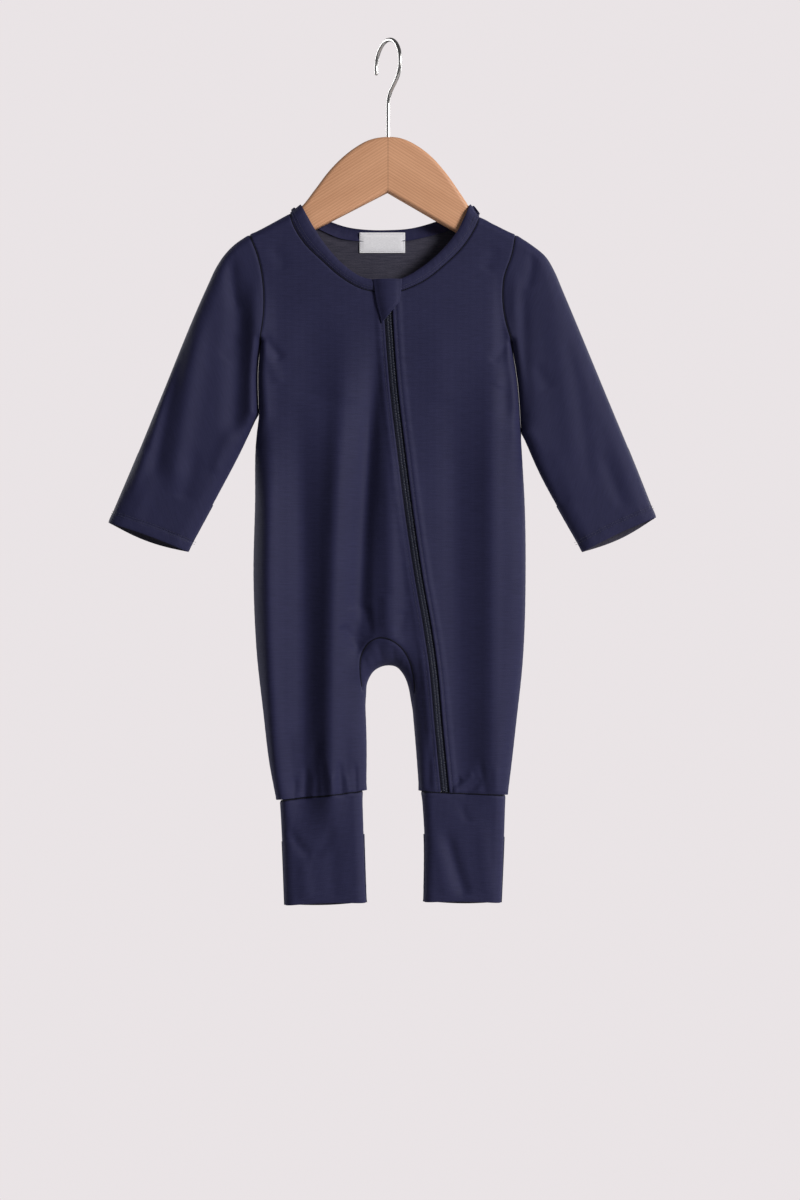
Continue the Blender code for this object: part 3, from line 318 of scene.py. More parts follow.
# Rows of the panels: closer together where the cloth turns over the shoulder and round the gusset
FRONT_RIGHT_ROWS = rows_of(
    Rows,
    (-158.1, -140.2), (-159.3, -141.6), (-162.2, -145.0), (-167.5, -151.5), (-177.0, -161.0),
    (-187.0, -171.5), (-199.0, -183.0), (-212.0, -194.3), (-225.0, -202.8), (-237.0, -214.0),
    (-246.8, -225.0), (-262.0, -250.0), (-305.9, -300.0), (-330.0, -328.0), (-488.3, -488.3),
)
FRONT_LEFT_ROWS = rows_of(
    Rows,
    (-158.1, -143.0), (-159.3, -144.4), (-162.2, -147.8), (-167.5, -154.0), (-177.0, -163.5),
    (-187.0, -174.0), (-199.0, -185.5), (-210.0, -197.2), (-217.0, -202.6), (-221.0, -205.2),
    (-225.0, -207.4), (-237.0, -218.0), (-246.8, -228.0), (-262.0, -250.0), (-321.5, -315.0),
    (-345.0, -340.0), (-616.8, -614.6),
)
BACK_ROWS = rows_of(
    Rows,
    (-158.1, -163.0), (-159.3, -164.0), (-162.2, -166.6), (-167.5, -171.2), (-177.0, -179.5),
    (-187.0, -188.5), (-199.0, -200.0), (-212.0, -212.0), (-228.0, -228.0), (-246.8, -246.8),
    (-305.9, -305.9), (-321.5, -321.5), (-488.3, -488.3),
)
LEG_RIGHT_ROWS = rows_of(
    Rows,
    (-488.3, -488.3), (-491.5, -492.2), (-499.0, -502.0), (-514.0, -516.0), (-529.0, -531.0),
    (-537.0, -538.0), (-621.0, -613.0),
)
LEG_LEFT_ROWS = rows_of(
    Rows,
    (-488.3, -488.3), (-490.6, -490.6), (-496.6, -496.6), (-507.0, -507.0), (-519.0, -519.0),
    (-533.0, -533.0), (-541.0, -541.0), (-616.8, -613.5),
)
# Between the middle line and the zip, then between the left inseam and the zip
ZIP_SIDE_ROWS = rows_of(Rows, (-202.8, -207.4), (-225.0, -227.0), (-250.0, -251.0), (-488.3, -488.3))
ZIP_LEG_ROWS = rows_of(
    Rows,
    (-488.3, -488.3), (-490.6, -491.5), (-496.6, -499.0), (-507.0, -509.0), (-519.0, -520.5),
    (-533.0, -534.0), (-541.0, -541.5), (-613.5, -614.2),
)

# The edges of the guard over the zip's top end, on the wearer's right and left, and its lift across
GUARD_RIGHT = rows_of(Place, (-12.3, -195.9), (-11.4, -202.0), (-9.0, -217.0), (-5.0, -232.0))
GUARD_LEFT = rows_of(Place, (11.5, -195.9), (10.9, -205.0), (9.8, -214.0))
GUARD_LIFTS = [(0.0, 1.6), (0.25, 4.6), (0.5, 5.4), (0.8, 5.2), (1.0, 4.2)]  # share of its width, lift

WOOD_OUTLINE = rows_of(
    Place,
    (0.0, -78.3), (-8.5, -79.0), (-15.7, -80.9), (-27.0, -87.0), (-37.3, -95.0), (-47.6, -105.4),
    (-59.9, -121.4), (-70.3, -134.8), (-75.6, -140.0), (-82.4, -144.5), (-97.5, -152.8), (-113.0, -161.3),
    (-123.0, -168.6), (-129.3, -174.8), (-132.3, -181.0), (-130.8, -187.0), (-124.5, -188.0), (-60.4, -154.5),
    (-0.6, -123.7), (55.4, -156.2), (118.5, -192.6), (125.0, -191.6), (127.2, -185.5), (124.0, -178.6),
    (117.0, -171.4), (104.0, -162.4), (88.0, -153.7), (74.6, -146.6), (69.0, -140.0), (64.8, -133.0),
    (59.0, -124.2), (45.5, -105.4), (36.1, -95.0), (24.8, -86.1), (14.0, -80.5), (8.0, -78.8),
)

# How the cloth hangs out (+) or in (-) along a line, from its start to its end; bow bends the line sideways
CREASES = [
    # front of the body: long soft folds that start under the chest
    *creases(
        FRONT,
        (-97, -290, -94, -655, 2, 9, 4.8), (-73, -270, -70, -660, -2, 11, -4.8),
        (-33, -235, -46, -660, 5, 10, 6.8), (-7, -228, -24, -522, 3, 8, -6.4), (1, -300, 3, -512, 0, 8, 3.2),
        (56, -250, 62, -640, 3, 13, -3.0), (85, -230, 85, -640, 0, 10, 3.6), (14, -300, 40, -590, 0, 9, 1.2),
        (-58, -210, -62, -300, 4, 16, -1.2), (40, -225, 46, -300, 2, 14, 0.8),
        (-30, -222, -38, -300, 0, 14, 1.0),
    ),
    # where the body's edges meet the sleeves
    *creases(
        FRONT,
        (-98, -190, -99, -320, 0, 6, 1.2), (92, -180, 97, -320, 0, 6, -2.2),
        (104, -180, 108, -315, 0, 5, 2.6), (-104, -238, -86, -262, 1, 4, -1.3),
        (-103, -250, -88, -282, -1, 5, 0.9), (100, -240, 84, -264, -1, 4, -1.1),
        (101, -252, 90, -286, 1, 5, 0.8), (90, -168, 80, -190, 1, 6, -0.7),
        (-96, -166, -84, -188, -1, 6, -0.7),
    ),
    # crotch: small pulls towards the gusset's seam
    *creases(
        FRONT,
        (-22, -505, -38, -478, 2, 3.5, -1.5), (-20, -496, -30, -462, 2, 4.5, 1.2),
        (-14, -490, -18, -462, 1, 3.5, -1.2), (-4, -487, -2, -452, 1, 4, 1.0),
        (8, -492, 14, -466, -1, 3.5, -1.0), (-8, -492, -5, -508, 0, 2.2, -0.9),
        (4, -494, 5, -509, 0, 2.0, -0.8), (-17, -502, -13, -513, 0, 2.2, 0.7),
        (13, -504, 11, -515, 0, 2.0, 0.7),
    ),
    # legs
    *creases(
        FRONT,
        (-56, -560, -58, -622, 1, 4.5, -1.6), (-80, -560, -76, -618, 1, 4, -0.8),
        (-66, -590, -68, -622, 0, 2.6, -1.3), (-60, -596, -61, -621, 0, 2.2, 1.1),
        (-53, -584, -51, -620, 0, 2.4, -1.5), (-46, -596, -45, -619, 0, 2.2, 1.2),
        (-40, -586, -38, -618, 0, 2.5, -1.6), (-34, -598, -32, -617, 0, 2.0, 1.0),
        (-27, -588, -26, -616, 0, 2.3, -1.2), (-76, -600, -77, -621, 0, 2.2, -0.9),
        (45, -616, 60, -602, 1, 2.2, -1.3), (52, -616, 70, -598, 1, 2.6, 1.0),
        (60, -617, 76, -604, 1, 2.2, -0.9), (36, -560, 33, -614, 0, 3.0, -1.2),
        (74, -585, 80, -617, 0, 3.0, -0.8), (88, -590, 88, -617, 0, 3.0, 0.7),
    ),
    # leg cuffs
    *creases(
        FRONT,
        (-82, -640, -62, -668, 3, 4.0, -1.4), (-44, -640, -62, -668, -3, 4.0, -1.1),
        (-70, -664, -66, -704, 0, 6.0, 1.2), (-46, -650, -44, -704, 0, 6.0, -0.9),
        (46, -640, 64, -702, 1, 5.0, -2.4), (36, -640, 50, -702, 0, 6.0, 1.0),
        (76, -634, 82, -702, 0, 6.0, 1.0), (58, -622, 66, -640, 0, 3.0, -0.7),
    ),
    # back
    *creases(
        BACK,
        (-48, -270, -58, -560, 3, 13, -4.0), (38, -260, 52, -560, -3, 13, -4.2),
        (-4, -300, -2, -490, 2, 14, 3.4), (-82, -330, -84, -600, 0, 12, 2.8),
        (84, -320, 82, -600, 0, 12, 3.0), (-52, -550, -54, -630, 0, 9, 2.4), (62, -550, 62, -630, 0, 9, -2.4),
        (-20, -180, -26, -270, 2, 12, 1.4), (24, -182, 18, -280, -2, 12, -1.6),
        (-104, -240, -80, -268, 1, 5, -1.4), (100, -242, 78, -270, -1, 5, -1.5),
        (-66, -590, -66, -620, 0, 2.6, -1.3), (-56, -596, -57, -620, 0, 2.4, 1.1),
        (-42, -590, -41, -618, 0, 2.5, -1.4), (44, -592, 43, -616, 0, 2.4, -1.3),
        (54, -594, 56, -617, 0, 2.4, 1.1), (72, -588, 74, -617, 0, 2.6, -1.3),
        (-18, -500, -30, -470, 2, 4, -1.4), (16, -502, 28, -470, -2, 4, -1.4),
        (-2, -488, -3, -455, 0, 4, -1.2), (-60, -640, -56, -700, 2, 6, -1.2),
        (64, -640, 58, -700, -2, 6, -1.4),
    ),
    # sleeve on the wearer's right: a full ridge down its middle, hollow beside the body and near its fold
    *creases(
        FRONT,
        (-124, -178, -127, -330, -2, 8, -3.6), (-108, -185, -108, -330, 0, 7, 4.2),
        (-162, -225, -192, -362, 2, 6, -2.6), (-149, -215, -176, -372, 1, 8, 3.0),
        (-160, -225, -212, -380, 1, 5, 1.6), (-127, -172, -124, -222, 2, 5, -2.0),
        (-178, -262, -199, -342, 1, 2.4, -1.3), (-158, -330, -168, -378, -1, 7, -1.2),
        (-190, -352, -208, -396, 1, 6, 1.0), (-122, -310, -142, -356, 2, 5, 1.0),
        (-122, -240, -134, -262, 2, 5, -1.0),
    ),
    *creases(
        BACK,
        (-150, -220, -180, -380, 3, 10, -2.6), (-128, -240, -150, -330, -2, 8, 2.0),
        (-114, -205, -112, -300, 0, 7, -2.6),
    ),
    # sleeve on the wearer's left
    *creases(
        FRONT,
        (108, -186, 111, -325, 2, 7, -3.6), (128, -200, 152, -350, -3, 9, 1.0),
        (141, -215, 166, -370, -2, 6, -0.8), (160, -250, 190, -380, -2, 9, -0.9),
        (118, -170, 114, -204, -1, 4, -1.2), (122, -330, 146, -384, -2, 6, -1.1),
        (172, -330, 194, -384, 1, 5, -0.9), (120, -262, 132, -286, 1, 5, -0.9),
    ),
    *creases(
        BACK,
        (148, -220, 176, -370, -3, 10, -2.8), (126, -240, 146, -330, 2, 8, 2.0),
        (110, -205, 110, -300, 0, 7, -2.6),
    ),
]


# ---------------------------------------------------------------- curves of the outline plane


def smooth(rows, step=3.0):
    """Points along a smooth curve through the rows of a table, with all its columns, about `step` apart."""
    table = np.array(rows, float)
    spans = np.hypot(*np.diff(table[:, :2], axis=0).T)
    slopes = np.diff(table, axis=0) / spans[:, None]
    weights = spans[:, None]
    inner = (slopes[:-1] * weights[1:] + slopes[1:] * weights[:-1]) / (weights[1:] + weights[:-1])
    tangents = np.vstack([slopes[:1], inner, slopes[-1:]])
    points = [table[:1]]
    for i, span in enumerate(spans):
        count = max(2, math.ceil(span / step))
        t = (np.arange(1, count + 1) / count)[:, None]
        start, end = table[i], table[i + 1]
        points.append(
            (2 * t**3 - 3 * t**2 + 1) * start + (t**3 - 2 * t**2 + t) * span * tangents[i]
            + (3 * t**2 - 2 * t**3) * end + (t**3 - t**2) * span * tangents[i + 1]
        )
    return np.vstack(points)


def run_of(points):
    """How far along a line each of its points lies."""
    return np.concatenate([[0.0], np.cumsum(np.linalg.norm(np.diff(points, axis=0), axis=1))])


def along(curve, share):
    """The places at these shares of the curve's length."""
    run = run_of(curve[:, :2])
    run = run / run[-1]
    return np.stack([np.interp(share, run, curve[:, 0]), np.interp(share, run, curve[:, 1])], axis=-1)


def x_at(curve, z):
    """Where a curve that runs downwards crosses these heights."""
    return np.interp(-np.asarray(z, float), -curve[:, 1], curve[:, 0])


def joined(*tables):
    """One curve through several smooth ones that meet end to end."""
    curves = [smooth(table)[:, :2] for table in tables]
    return np.vstack([curves[0]] + [curve[1:] for curve in curves[1:]])


def places_of(*tables):
    """Only the places of fold edges, for a curve that joins them to plain ones."""
    return [[Place(row.x, row.z) for row in table] for table in tables]


def fold_edges(*groups):
    """Fold edges of one part of the garment: each group of curves rounds the cloth off once."""
    return [[smooth(table) for table in group] for group in groups]


BODY_EDGES = fold_edges(
    [SHOULDER_RIGHT, SLEEVE_TOP_RIGHT], [SHOULDER_LEFT, SLEEVE_TOP_LEFT],
    [SLIT_RIGHT, SIDE_RIGHT, SLEEVE_UNDER_RIGHT], [SLIT_LEFT, SIDE_LEFT, SLEEVE_UNDER_LEFT],
    [CROTCH, INSEAM_RIGHT, INSEAM_LEFT],
)
CUFF_RIGHT_EDGES = fold_edges([CUFF_RIGHT_OUTER], [CUFF_RIGHT_INNER])
CUFF_LEFT_EDGES = fold_edges([CUFF_LEFT_OUTER], [CUFF_LEFT_INNER])


# ---------------------------------------------------------------- the cloth's surface


def to_line(curve, x, z):
    """For each place, the nearest point of a curve: how far, on which span, the share of it, and the way off."""
    a, b = curve[:-1, :2], curve[1:, :2]
    step = b - a
    dx, dz = x[:, None] - a[None, :, 0], z[:, None] - a[None, :, 1]
    t = np.clip((dx * step[:, 0] + dz * step[:, 1]) / (step**2).sum(axis=1), 0, 1)
    off_x, off_z = dx - t * step[:, 0], dz - t * step[:, 1]
    best = np.argmin(off_x**2 + off_z**2, axis=1)
    pick = (np.arange(len(x)), best)
    off = np.stack([off_x[pick], off_z[pick]], axis=1)
    return np.linalg.norm(off, axis=1), best, t[pick], off


def nearest(curve, x, z):
    """For each place: its distance to the curve, the rounding there, and the unit vector away from it."""
    distance, best, t, off = to_line(curve, x, z)
    width = curve[best, 2] + t * (curve[best + 1, 2] - curve[best, 2])
    return distance, width, off / np.maximum(distance, 1e-9)[:, None]


def rounding(edges, x, z):
    """How far the cloth has opened from its fold edges, 0 on one and 1 away from all, with its slope."""
    opened = np.ones(len(x))
    parts = []
    for group in edges:
        found = [nearest(curve, x, z) for curve in group]
        shares = np.stack([distance / width for distance, width, _ in found])
        best = np.argmin(shares, axis=0)
        pick = (best, np.arange(len(x)))
        width = np.stack([f[1] for f in found])[pick]
        inward = np.stack([f[2] for f in found])[pick]
        share = np.minimum(shares[pick], 1.0)
        open_here = np.sqrt(np.maximum(1 - (1 - share) ** 2, 0))
        opened = opened * open_here
        parts.append((np.maximum(open_here, FLAT_AT_FOLD), (1 - share) / width, inward))
    slope = np.zeros((len(x), 2))
    for open_here, rate, inward in parts:
        slope += (np.maximum(opened, FLAT_AT_FOLD) * rate / open_here**2)[:, None] * inward
    return opened, slope


def near(rows, x, z):
    """The bell-shaped weight of each row of a table at each place."""
    table = np.array([(row.x, row.z, row.reach) for row in rows], float)
    square = (x[:, None] - table[:, 0]) ** 2 + (z[:, None] - table[:, 1]) ** 2
    return np.exp(-square / table[:, 2] ** 2)


def soft_step(t):
    t = np.clip(t, 0, 1)
    return t * t * (3 - 2 * t)


def bell(offset, width):
    """1 on a line, falling to nothing a few widths away from it."""
    return np.exp(-((offset / width) ** 2))


def fullness(x, z, side):
    """Half the garment's depth away from its fold edges, with the creases of that side."""
    weights = near(BULKS, x, z) + 1e-9
    depth = (weights * [row.half for row in BULKS]).sum(axis=1) / weights.sum(axis=1)
    for crease in CREASES:
        if crease.side != side:
            continue
        step = np.array([crease.x2 - crease.x1, crease.z2 - crease.z1], float)
        length = np.hypot(*step)
        t = ((x - crease.x1) * step[0] + (z - crease.z1) * step[1]) / length**2
        off = ((x - crease.x1) * step[1] - (z - crease.z1) * step[0]) / length
        off = off - crease.bow * 4 * t * (1 - t)
        fade = soft_step(t / FADE_IN) * soft_step((1 - t) / FADE_OUT)
        depth = depth + crease.height * fade * bell(off, crease.width)
    return depth


def sway(x, z):
    """How far forward the whole thickness of the garment hangs."""
    return (near(SWAYS, x, z) * [row.forward for row in SWAYS]).sum(axis=1)


def skin(x, z, side, edges):
    """Points of the cloth's outer surface, and the outward direction at each."""
    opened, slope = rounding(edges, x, z)
    full = fullness(x, z, side)
    across = fullness(x + PROBE, z, side) - fullness(x - PROBE, z, side)
    upwards = fullness(x, z + PROBE, side) - fullness(x, z - PROBE, side)
    full_slope = np.stack([across, upwards], axis=1) / (2 * PROBE)
    rise = full[:, None] * slope + full_slope * opened[:, None]
    outward = np.stack([-rise[:, 0], np.full(len(x), side), -rise[:, 1]], axis=1)
    outward /= np.linalg.norm(outward, axis=1)[:, None]
    return np.stack([x, side * full * opened - sway(x, z), z], axis=1), outward


def fold_direction(places, border):
    """On a border of a grid that lies on a fold edge: the direction away from the cloth, in its plane."""
    rows, columns = border
    inside = {0: 1, -1: -2}
    if isinstance(rows, slice):
        tangent, within = np.gradient(places, axis=0)[border], places[rows, inside[columns]]
    else:
        tangent, within = np.gradient(places, axis=1)[border], places[inside[rows], columns]
    away = places[border] - within
    away -= ((away * tangent).sum(axis=1) / (tangent**2).sum(axis=1))[:, None] * tangent
    away /= np.linalg.norm(away, axis=1)[:, None]
    return np.stack([away[:, 0], np.zeros(len(away)), away[:, 1]], axis=1)


def uneven(run, number):
    """A wavy line without a period, between about -1 and 1, for what is irregular along a seam."""
    turn = 2 * math.pi * run
    long, middle = np.sin(turn / 9.7 + 1.3 * number), np.sin(turn / 6.1 + 2.1 * number)
    return (long + 0.7 * middle + 0.5 * np.sin(turn / 3.9 + number)) / 2.2


def drawn_in(seams, points):
    """How far the cloth lies off its smooth form at its seams: turned in at each, puckered along it."""
    x, depth, z = points[:, 0], points[:, 1], points[:, 2]
    moved = np.zeros(len(x))
    turned = np.zeros(len(x))
    for number, (curve, on_fold) in enumerate(seams):
        distance, best, t, _ = to_line(curve, x, z)
        run = run_of(curve[:, :2])
        at = run[best] + t * (run[best + 1] - run[best])
        ease = 1.0
        if on_fold:
            distance = np.hypot(distance, depth + sway(x, z))
            ease = np.clip(np.minimum(at, run[-1] - at) / SEAM_EASE, 0, 1)
        turned = np.maximum(turned, ease * bell(distance, SEAM_WIDTH))
        beside = np.exp(-distance / PUCKER_REACH) * (1 - bell(distance, PUCKER_START))
        moved += PUCKER_DEPTH * beside * (1.0 + uneven(at, number + 1))
    return moved - SEAM_DEPTH * turned


# ---------------------------------------------------------------- meshes


def placed(name, data):
    """An object of this mesh or lamp, at the origin, in the scene."""
    made = bpy.data.objects.new(name, data)
    bpy.context.scene.collection.objects.link(made)
    return made


class Sheet:
    """A cloth piece laid out on the outline plane as patches of rows, then given its walls."""

    def __init__(self, edges=BODY_EDGES, tube=False, seams=()):
        self.edges, self.tube, self.seams = edges, tube, seams
        self.outer, self.inner, self.flat, self.faces = [], [], [], []
        self.index = {}

    def surface(self, places, side, folds=(), lift=0.0):
        """Points and outward directions over a grid of places, with the seams drawn in."""
        shape = places.shape[:-1]
        x, z = places[..., 0].ravel(), places[..., 1].ravel()
        points, outward = (found.reshape(*shape, 3) for found in skin(x, z, side, self.edges))
        for border in folds:
            points[border][:, 1] = -sway(*places[border].T)
            outward[border] = fold_direction(places, border)
        points, outward = points.reshape(-1, 3), outward.reshape(-1, 3)
        raised = np.broadcast_to(np.asarray(lift, float), shape).ravel()
        if self.seams:
            raised = raised + drawn_in(self.seams, points)
        if not self.tube:
            points[:, 1] += side * HALF_GAP
        return points + outward * raised[:, None], outward

    def add_patch(self, places, side, folds=(), lift=0.0, wall=CLOTH, flat=None):
        """Adds a grid of places (rows, columns, 2). `folds` names the borders that lie on a fold edge as
        (row slice, column slice) pairs; `lift` and `wall` may be grids too; `flat` lays out the weave."""
        rows, columns = places.shape[:2]
        outer, outward = self.surface(places, side, folds, lift)
        wall = np.broadcast_to(np.asarray(wall, float), (rows, columns)).ravel()[:, None]
        inner = outer - outward * wall
        if flat is None:
            flat = places * [1, -1] + [BACK_WEAVE * (side == BACK), 0]
        keys = np.round(outer * 100).astype(int).tolist()
        names = np.array([
            self.number(tuple(key), *corner) for key, *corner in zip(keys, outer, inner, flat.reshape(-1, 2))
        ]).reshape(rows, columns)
        corners = [names[:-1, :-1], names[1:, :-1], names[1:, 1:], names[:-1, 1:]]
        quads = np.stack([corner.ravel() for corner in corners], axis=1)
        if self.looks_inwards(quads, outward, names):
            quads = quads[:, ::-1]
        for quad in quads.tolist():
            face = tuple(dict.fromkeys(quad))
            if len(face) > 2:
                self.faces.append(face)

    def number(self, key, outer, inner, flat):
        """The number of this point of the sheet, the same for places where patches meet."""
        if key not in self.index:
            self.index[key] = len(self.outer)
            self.outer.append(outer)
            self.inner.append(inner)
            self.flat.append(flat)
        return self.index[key]

    def looks_inwards(self, quads, outward, names):
        points = np.array(self.outer)
        first, second, third, fourth = (points[quads[:, i]] for i in range(4))
        across = np.cross(third - first, fourth - second)
        directions = np.zeros((len(points), 3))
        directions[names.ravel()] = outward
        return (across * directions[quads].sum(axis=1)).sum() < 0

    def make(self, name, finish, reverse=None, soften=0.0):
        """The closed piece: the outer surface, the inner one, and a rim along every open border."""
        count = len(self.outer)
        faces = list(self.faces)
        borders = {}
        for face in self.faces:
            faces.append(tuple(i + count for i in (face[0], *reversed(face[1:]))))
            for a, b in zip(face, face[1:] + face[:1]):
                borders[a, b] = (b, a) not in borders
                if not borders[a, b]:
                    borders[b, a] = False
        inner_side = len(self.faces)
        faces += [(b, a, a + count, b + count) for (a, b), is_open in borders.items() if is_open]
        data = bpy.data.meshes.new(name)
        data.from_pydata(np.array(self.outer + self.inner) * MM, [], faces)
        data.materials.append(finish)
        data.materials.append(reverse or finish)
        which = np.zeros(len(faces), np.int32)
        which[inner_side:2 * inner_side] = 1
        data.polygons.foreach_set("material_index", which)
        layer = data.uv_layers.new(name="weave")
        corner = np.zeros(len(data.loops), np.int32)
        data.loops.foreach_get("vertex_index", corner)
        flat = np.array(self.flat + self.flat)[corner]
        layer.data.foreach_set("uv", (flat * MM).astype(np.float32).ravel())
        settled(name, data, soften)


def settled(name, data, soften):
    """The object of a finished mesh, with its hard borders softened."""
    data.validate()
    made = placed(name, data)
    if soften:
        bevel = made.modifiers.new("soft borders", "BEVEL")
        bevel.width = soften * MM
        bevel.segments = 2
        bevel.limit_method = "ANGLE"
        bevel.angle_limit = math.radians(60)
        bevel.use_clamp_overlap = True
        plain(made)
    made.data.shade_smooth()
    made.data.set_sharp_from_angle(angle=math.radians(50))


def plain(made):
    """Puts what an object's modifiers make into its mesh."""
    graph = bpy.context.evaluated_depsgraph_get()
    data = bpy.data.meshes.new_from_object(made.evaluated_get(graph))
    old = made.data
    made.modifiers.clear()
    made.data = data
    bpy.data.meshes.remove(old)
    data.name = made.name


def subdivided(rows, step):
    """The rows of a table with as many more between them as keep them about `step` apart."""
    made = [rows[0]]
    for upper, lower in zip(rows, rows[1:]):
        drop = max(abs(lower.outer - upper.outer), abs(lower.inner - upper.inner))
        count = max(1, round(drop / step))
        for i in range(1, count + 1):
            t = i / count
            made.append(Rows(*(a + t * (b - a) for a, b in zip(upper, lower))))
    return made


def packed(count):
    """Shares from 0 to 1 that lie closer together at both ends."""
    even = np.arange(count + 1) / count
    return 0.55 * (1 - np.cos(np.pi * even)) / 2 + 0.45 * even


def between(outer, inner, shares):
    """A grid of places: row i runs from outer[i] to inner[i]."""
    return outer[:, None] + (inner - outer)[:, None] * np.asarray(shares)[None, :, None]


def strip(outer_curve, inner_curve, rows, shares):
    """A grid between two edges that run downwards, at the heights of the rows."""
    outer_z = np.array([row.outer for row in rows])
    inner_z = np.array([row.inner for row in rows])
    outer = np.stack([x_at(outer_curve, outer_z), outer_z], axis=1)
    inner = np.stack([x_at(inner_curve, inner_z), inner_z], axis=1)
    return between(outer, inner, shares)


# ---------------------------------------------------------------- finishes


def finish_named(name, color, roughness, metallic=0.0, **constants):
    """A material with its plain values set on the shader itself."""
    material = bpy.data.materials.new(name)
    material.use_nodes = True
    shader = material.node_tree.nodes["Principled BSDF"]
    shader.inputs["Base Color"].default_value = (*color, 1)
    shader.inputs["Roughness"].default_value = roughness
    shader.inputs["Metallic"].default_value = metallic
    for label, value in constants.items():
        shader.inputs[label.replace("_", " ")].default_value = value
    return material


class Painter:
    """Adds nodes to a material, one line each."""

    def __init__(self, material):
        self.tree = material.node_tree
        self.shader = self.tree.nodes["Principled BSDF"]
        self.link = self.tree.links.new

    def node(self, kind, inputs=None, **settings):
        node = self.tree.nodes.new(kind)
        for key, value in settings.items():
            setattr(node, key, value)
        for label, value in (inputs or {}).items():
            if isinstance(value, bpy.types.NodeSocket):
                self.link(value, node.inputs[label])
            else:
                node.inputs[label].default_value = value
        return node

    def weave(self):
        return self.node("ShaderNodeUVMap", uv_map="weave").outputs["UV"]

    def place(self):
        return self.node("ShaderNodeTexCoord").outputs["Object"]

    def stretched(self, source, scale, turn=(0, 0, 0)):
        made = self.node("ShaderNodeMapping", {"Vector": source, "Scale": scale, "Rotation": turn})
        return made.outputs["Vector"]

    def noise(self, source, scale, detail=2.0, roughness=0.5):
        made = self.node("ShaderNodeTexNoise", {"Vector": source, "Scale": scale, "Detail": detail,
                                                "Roughness": roughness})
        return made.outputs["Fac"]

    def math(self, operation, a, b=0.0):
        return self.node("ShaderNodeMath", {0: a, 1: b}, operation=operation).outputs[0]

    def waves(self, source, length):
        """A sine along this value, repeated at this length in millimetres."""
        return self.math("SINE", self.math("MULTIPLY", source, 2 * math.pi / (length * MM)))

    def total(self, *weighted):
        """The sum of (value, weight) pairs."""
        parts = [value if weight == 1 else self.math("MULTIPLY", value, weight) for value, weight in weighted]
        made = parts[0]
        for part in parts[1:]:
            made = self.math("ADD", made, part)
        return made

    def ramp(self, source, low, high, color_low, color_high):
        made = self.node("ShaderNodeValToRGB", {"Fac": source})
        first, last = made.color_ramp.elements
        first.position, last.position = low, high
        first.color, last.color = (*color_low, 1), (*color_high, 1)
        return made.outputs["Color"]

    def fit(self, source, low, high, to_low, to_high):
        made = self.node("ShaderNodeMapRange", {"Value": source, "From Min": low, "From Max": high,
                                                "To Min": to_low, "To Max": to_high})
        return made.outputs["Result"]

    def mix(self, share, a, b, blend="MIX"):
        made = self.node("ShaderNodeMix", {"Factor": share, 6: a, 7: b}, data_type="RGBA", blend_type=blend)
        return made.outputs[2]

    def bump(self, height, distance, strength=1.0):
        made = self.node("ShaderNodeBump", {"Height": height, "Distance": distance, "Strength": strength})
        self.link(made.outputs["Normal"], self.shader.inputs["Normal"])


def jersey(name, light, dark, speckle, sheen):
    """Fine cotton knit: ribs of loops, soft streaks along the courses, and a short nap."""
    material = finish_named(
        name, light, 0.60, Sheen_Weight=sheen, Sheen_Roughness=0.4, Specular_IOR_Level=0.12,
        Sheen_Tint=(0.55, 0.57, 0.95, 1),
    )
    paint = Painter(material)
    flat = paint.weave()
    apart = paint.node("ShaderNodeSeparateXYZ", {"Vector": flat})
    loops = paint.total((paint.waves(apart.outputs["X"], WALE), 1), (paint.waves(apart.outputs["Y"], COURSE), 0.6))
    streaks = paint.noise(paint.stretched(flat, (90, 900, 1)), 1.0, 3.0)
    fibre = paint.noise(paint.stretched(flat, (1400, 1400, 1)), 1.0, 2.0)
    wide = paint.noise(paint.stretched(flat, (14, 22, 1)), 1.0, 3.0)
    tone = paint.total((streaks, STREAKS), (fibre, speckle), (wide, PATCHES))
    middle = 0.5 * (STREAKS + speckle + PATCHES)
    color = paint.ramp(tone, middle - 0.16, middle + 0.16, dark, light)
    paint.link(color, paint.shader.inputs["Base Color"])
    paint.bump(paint.total((loops, 0.3), (streaks, 1), (fibre, 1.2)), 0.12 * MM, 0.8)
    return material


def woven_tape(name, color, speckle):
    """Narrow woven tape: a twill of fine threads."""
    material = finish_named(name, color, 0.72, Sheen_Weight=0.15, Sheen_Roughness=0.5, Specular_IOR_Level=0.3)
    paint = Painter(material)
    flat = paint.weave()
    apart = paint.node("ShaderNodeSeparateXYZ", {"Vector": flat})
    twill = paint.waves(paint.math("ADD", apart.outputs["X"], apart.outputs["Y"]), 0.6)
    fibre = paint.noise(paint.stretched(flat, (1800, 1800, 1)), 1.0, 2.0)
    tone = paint.total((twill, 0.15), (fibre, 1))
    dark = tuple(part * (1 - speckle) for part in color)
    light = tuple(min(1.0, part * (1 + speckle)) for part in color)
    paint.link(paint.ramp(tone, 0.3, 0.7, dark, light), paint.shader.inputs["Base Color"])
    paint.bump(tone, 0.08 * MM, 0.6)
    return material


def glossy_navy(name):
    """A smooth dark surface: moulded nylon, or enamel over metal."""
    material = finish_named(name, (0.020, 0.024, 0.045), 0.38, Specular_IOR_Level=0.5)
    paint = Painter(material)
    scuff = paint.noise(paint.stretched(paint.place(), (600, 600, 600)), 1.0, 2.0)
    paint.link(paint.fit(scuff, 0.3, 0.7, 0.30, 0.46), paint.shader.inputs["Roughness"])
    paint.link(paint.ramp(scuff, 0.3, 0.7, (0.016, 0.020, 0.040), (0.026, 0.030, 0.055)),
               paint.shader.inputs["Base Color"])
    return material


